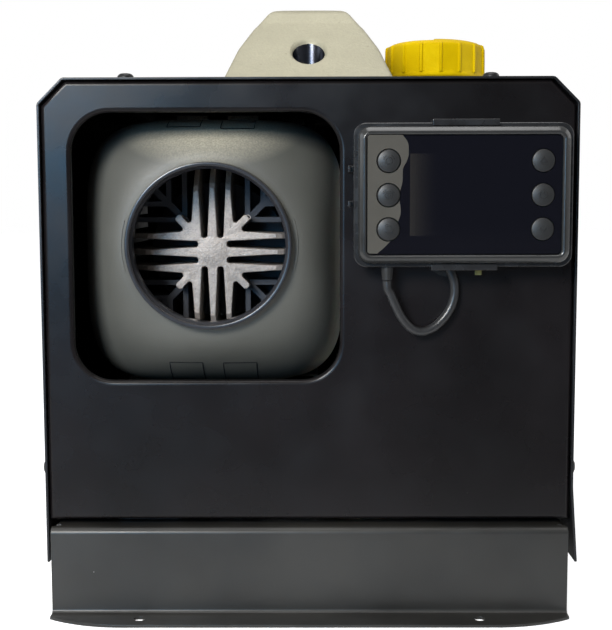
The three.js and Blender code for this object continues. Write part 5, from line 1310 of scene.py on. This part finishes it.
bezel_plastic = material_of("bezel_plastic", (0.022, 0.022, 0.021), 0.2, IOR=1.6)
mottled(bezel_plastic, 20, 2, (0.016, 0.016, 0.016), (0.028, 0.028, 0.027))
cloudy_gloss(bezel_plastic, 4, 3, 0.17, 0.26)
relief(bezel_plastic, [(noise(bezel_plastic, 0.5, 2), 0.006)])
rim = [(0, BEZEL_REAR), (0, -209.3), (0.3, -209.9), (0.9, -210.5), (2.6, -211.4), (4.2, -212.1), (5.2, -212.45),
       (6.0, BEZEL_FRONT), (7.0, -212.3), (8.0, -211.8), (8.5, -211.3), (8.6, -210.3), (13, -210.3), (13, BEZEL_REAR)]
bezel_rows = [front_row(RIM_WIDTH - draw, RIM_HEIGHT - draw, max(6 - draw * 0.45, 1.8), y) for draw, y in rim]
bezel = lofted("controller_rim", bezel_rows, bezel_plastic, closed=True, crease=45)
fitted(bezel, "root", "bezel_plastic", "controller_bezel")

# ---------------------------------------------------------------- screen
# A pane of dark acrylic set in the bezel, with a round hole for each key. The display's window behind it shows only as
# a painted sheen: paler at its left edge and fading to the right.
screen_black = material_of("screen_acrylic", (0.003, 0.0035, 0.006), 0.06, IOR=1.49)
screen_place = node(screen_black, "ShaderNodeSeparateXYZ", [
    ("Vector", node(screen_black, "ShaderNodeTexCoord").outputs["Object"])])


def between(material, value, low, high, soft):
    rise = spread(material, value, low - soft, low + soft)
    fall = spread(material, value, high - soft, high + soft, 1, 0)
    return reckoned(material, "MULTIPLY", rise, fall)


display_x = between(screen_black, screen_place.outputs[0], 0.0477, 0.099, 0.0001)
display_z = between(screen_black, screen_place.outputs[2], 0.1892, 0.2275, 0.0001)
display_sheen = reckoned(screen_black, "MULTIPLY", display_x, display_z)
# Painted sheen: the display's window is paler only near its left edge, fading out to the right.
painted_sheen_fade = spread(screen_black, screen_place.outputs[0], 0.0477, 0.062, 1, 0)
painted_sheen_fade = reckoned(screen_black, "POWER", painted_sheen_fade, 2.0)
display_sheen = reckoned(screen_black, "MULTIPLY", display_sheen, painted_sheen_fade)
wire(screen_black, "Base Color", mixed(screen_black, display_sheen, (0.0036, 0.0038, 0.0066), (0.019, 0.0175, 0.017)))
relief(screen_black, [(noise(screen_black, 30, 2), 0.02)])
screen = lofted("screen", [
    front_row(90.3, 54.8, 1.9, GLASS_FRONT), front_row(91.0, 55.5, 2.2, GLASS_FRONT + 0.3),
    front_row(91.0, 55.5, 2.2, GLASS_REAR)], screen_black)
key_places = {}
for side, offset in (("left", -35.65), ("right", 36.6)):
    for row, level_name in enumerate(("upper", "middle", "lower")):
        key_places[f"{side}_{level_name}"] = (CONTROL[0] + offset, CONTROL[1] + (1 - row) * 15.95)
cut(screen, *[rod("key_hole", 5.6, -214, -208, place, "Y", screen_black, 64)
              for place in key_places.values()])
fitted(screen, "root", "screen", "controller_glass")

# ---------------------------------------------------------------- screen film
# The screen's protective film has let go down its left side, and shows there as
# a pale haze with a wavy edge.
film_haze = material_of("film_haze", (0.105, 0.10, 0.09), 0.16, IOR=1.45)
mottled(film_haze, 14, 3, (0.066, 0.062, 0.053), (0.088, 0.082, 0.072))
relief(film_haze, [(noise(film_haze, 8, 2), 0.02)])
film_edge = [(44.0, 236.2), (45.9, 233.9), (46.7, 232.1), (47.0, 228.3), (46.8, 226.1), (45.9, 223.6), (44.5, 221.1),
             (44.2, 218.2), (44.2, 215.3), (43.7, 212.4), (42.9, 209.5), (42.7, 207.3), (42.9, 205.1), (43.3, 202.6),
             (43.4, 200.7), (43.1, 198.5), (42.2, 196.0), (40.7, 192.0), (39.7, 188.3), (37.0, 185.0), (34.4, 182.6),
             (32.4, 180.9)]
film_line = [p.xy for p in smooth_line([(x, z, 0) for x, z in film_edge], 3)]
film_outline = [tuple(p) for p in film_line] + [(28.6, 180.9), (27.8, 181.7), (27.8, 235.4), (28.6, 236.2)]
film = slab("lifted_film", film_outline, y_run, GLASS_FRONT - 0.12, GLASS_FRONT - 0.02, film_haze)
cut(film, *[rod("key_hole", 5.75, -214, -208, place, "Y", film_haze, 64)
            for name, place in key_places.items() if name.startswith("left")])
fitted(film, "root", "screen")

# ---------------------------------------------------------------- keys
# Six grey-black silicone domes, each with a plain symbol moulded on it. Each
# key is pressed in by itself.
key_silicone = material_of("key_silicone", (0.018, 0.018, 0.018), 0.42)
mottled(key_silicone, 3, 3, (0.010, 0.010, 0.010), (0.022, 0.022, 0.022))
relief(key_silicone, [(noise(key_silicone, 0.4, 2), 0.01)])


def key_height(radius):
    """How far the key's dome stands at a distance from its middle."""
    share = min(radius / 5.3, 1)
    return -213.3 + 0.75 * share ** 2.2


def stroke(name, path, closed=False, half=0.3, proud=0.26):
    """A raised line that follows the key's dome; the path is [x, z] from its middle."""
    points = [Vector(p) for p in path]
    count = len(points)
    rows = []
    for i, point in enumerate(points):
        before = points[(i - 1) % count] if closed else points[max(i - 1, 0)]
        after = points[(i + 1) % count] if closed else points[min(i + 1, count - 1)]
        aside = (after - before).normalized().orthogonal() * half
        row = []
        for share, lift in ((-1.3, -0.1), (-0.6, proud), (0.6, proud), (1.3, -0.1)):
            spot = point + aside * share
            row.append((spot.x, key_height(spot.length) - lift, spot.y))
        rows.append(row)
    return lofted(name, rows, key_silicone, closed=closed)


def arc(radius, low, high, centre=(0, 0), steps=18):
    return [(centre[0] + radius * math.cos(math.radians(low + (high - low) * i / steps)),
             centre[1] + radius * math.sin(math.radians(low + (high - low) * i / steps))) for i in range(steps + 1)]


def straight_line(corners, steps=5):
    """Points at even steps along straight runs, for a stroke to follow the dome."""
    line = [corners[0]]
    for a, b in zip(corners, corners[1:]):
        line += [tuple(Vector(a).lerp(Vector(b), i / steps)) for i in range(1, steps + 1)]
    return line


key_symbols = {
    "left_upper": [(arc(1.5, 0, 340), True), (arc(2.6, 115, 165), False), (arc(2.6, 15, 65), False)],
    "left_middle": [(arc(0.75, 0, 340), True), (arc(1.7, 0, 340), True), (arc(2.7, 115, 165), False),
                    (arc(2.7, 15, 65), False)],
    "left_lower": [(arc(1.9, -150, 110), False), (straight_line([(-1.6, 2.3), (-0.5, 1.9), (-1.2, 0.9)]), False)],
    "right_upper": [(straight_line([(-1.5, -0.5), (1.5, -0.5), (0, 1.9), (-1.5, -0.5)])[:-1], True),
                    (straight_line([(-1.4, -1.6), (1.4, -1.6)]), False)],
    "right_middle": [(arc(1.8, 125, 415), False), (straight_line([(0, 0.4), (0, 2.4)]), False)],
    "right_lower": [(straight_line([(-1.4, 0.6), (0, -1.3), (1.4, 0.6)]), False)],
}
for name, place in key_places.items():
    profile = [(0, -206.1), (5.3, -206.1), (5.3, -212.1)]
    profile += [(5.3 * s, key_height(5.3 * s) + (0.25 if s > 0.97 else 0)) for s in
                (0.995, 0.96, 0.9, 0.8, 0.65, 0.5, 0.35, 0.2, 0.1)]
    profile.append((0, -213.3))
    key = turned(f"key_{name}", profile, place, "Y", key_silicone, 64, 60)
    fitted(key, f"button_{name}_key", "button_plastic", f"button_{name}")
    for index, (path, closed) in enumerate(key_symbols[name]):
        line = stroke(f"symbol_{name}_{index}", path, closed)
        line.data.transform(Matrix.Translation(Vector((place[0], 0, place[1])) * mm))
        fitted(line, f"button_{name}_key", "button_plastic")
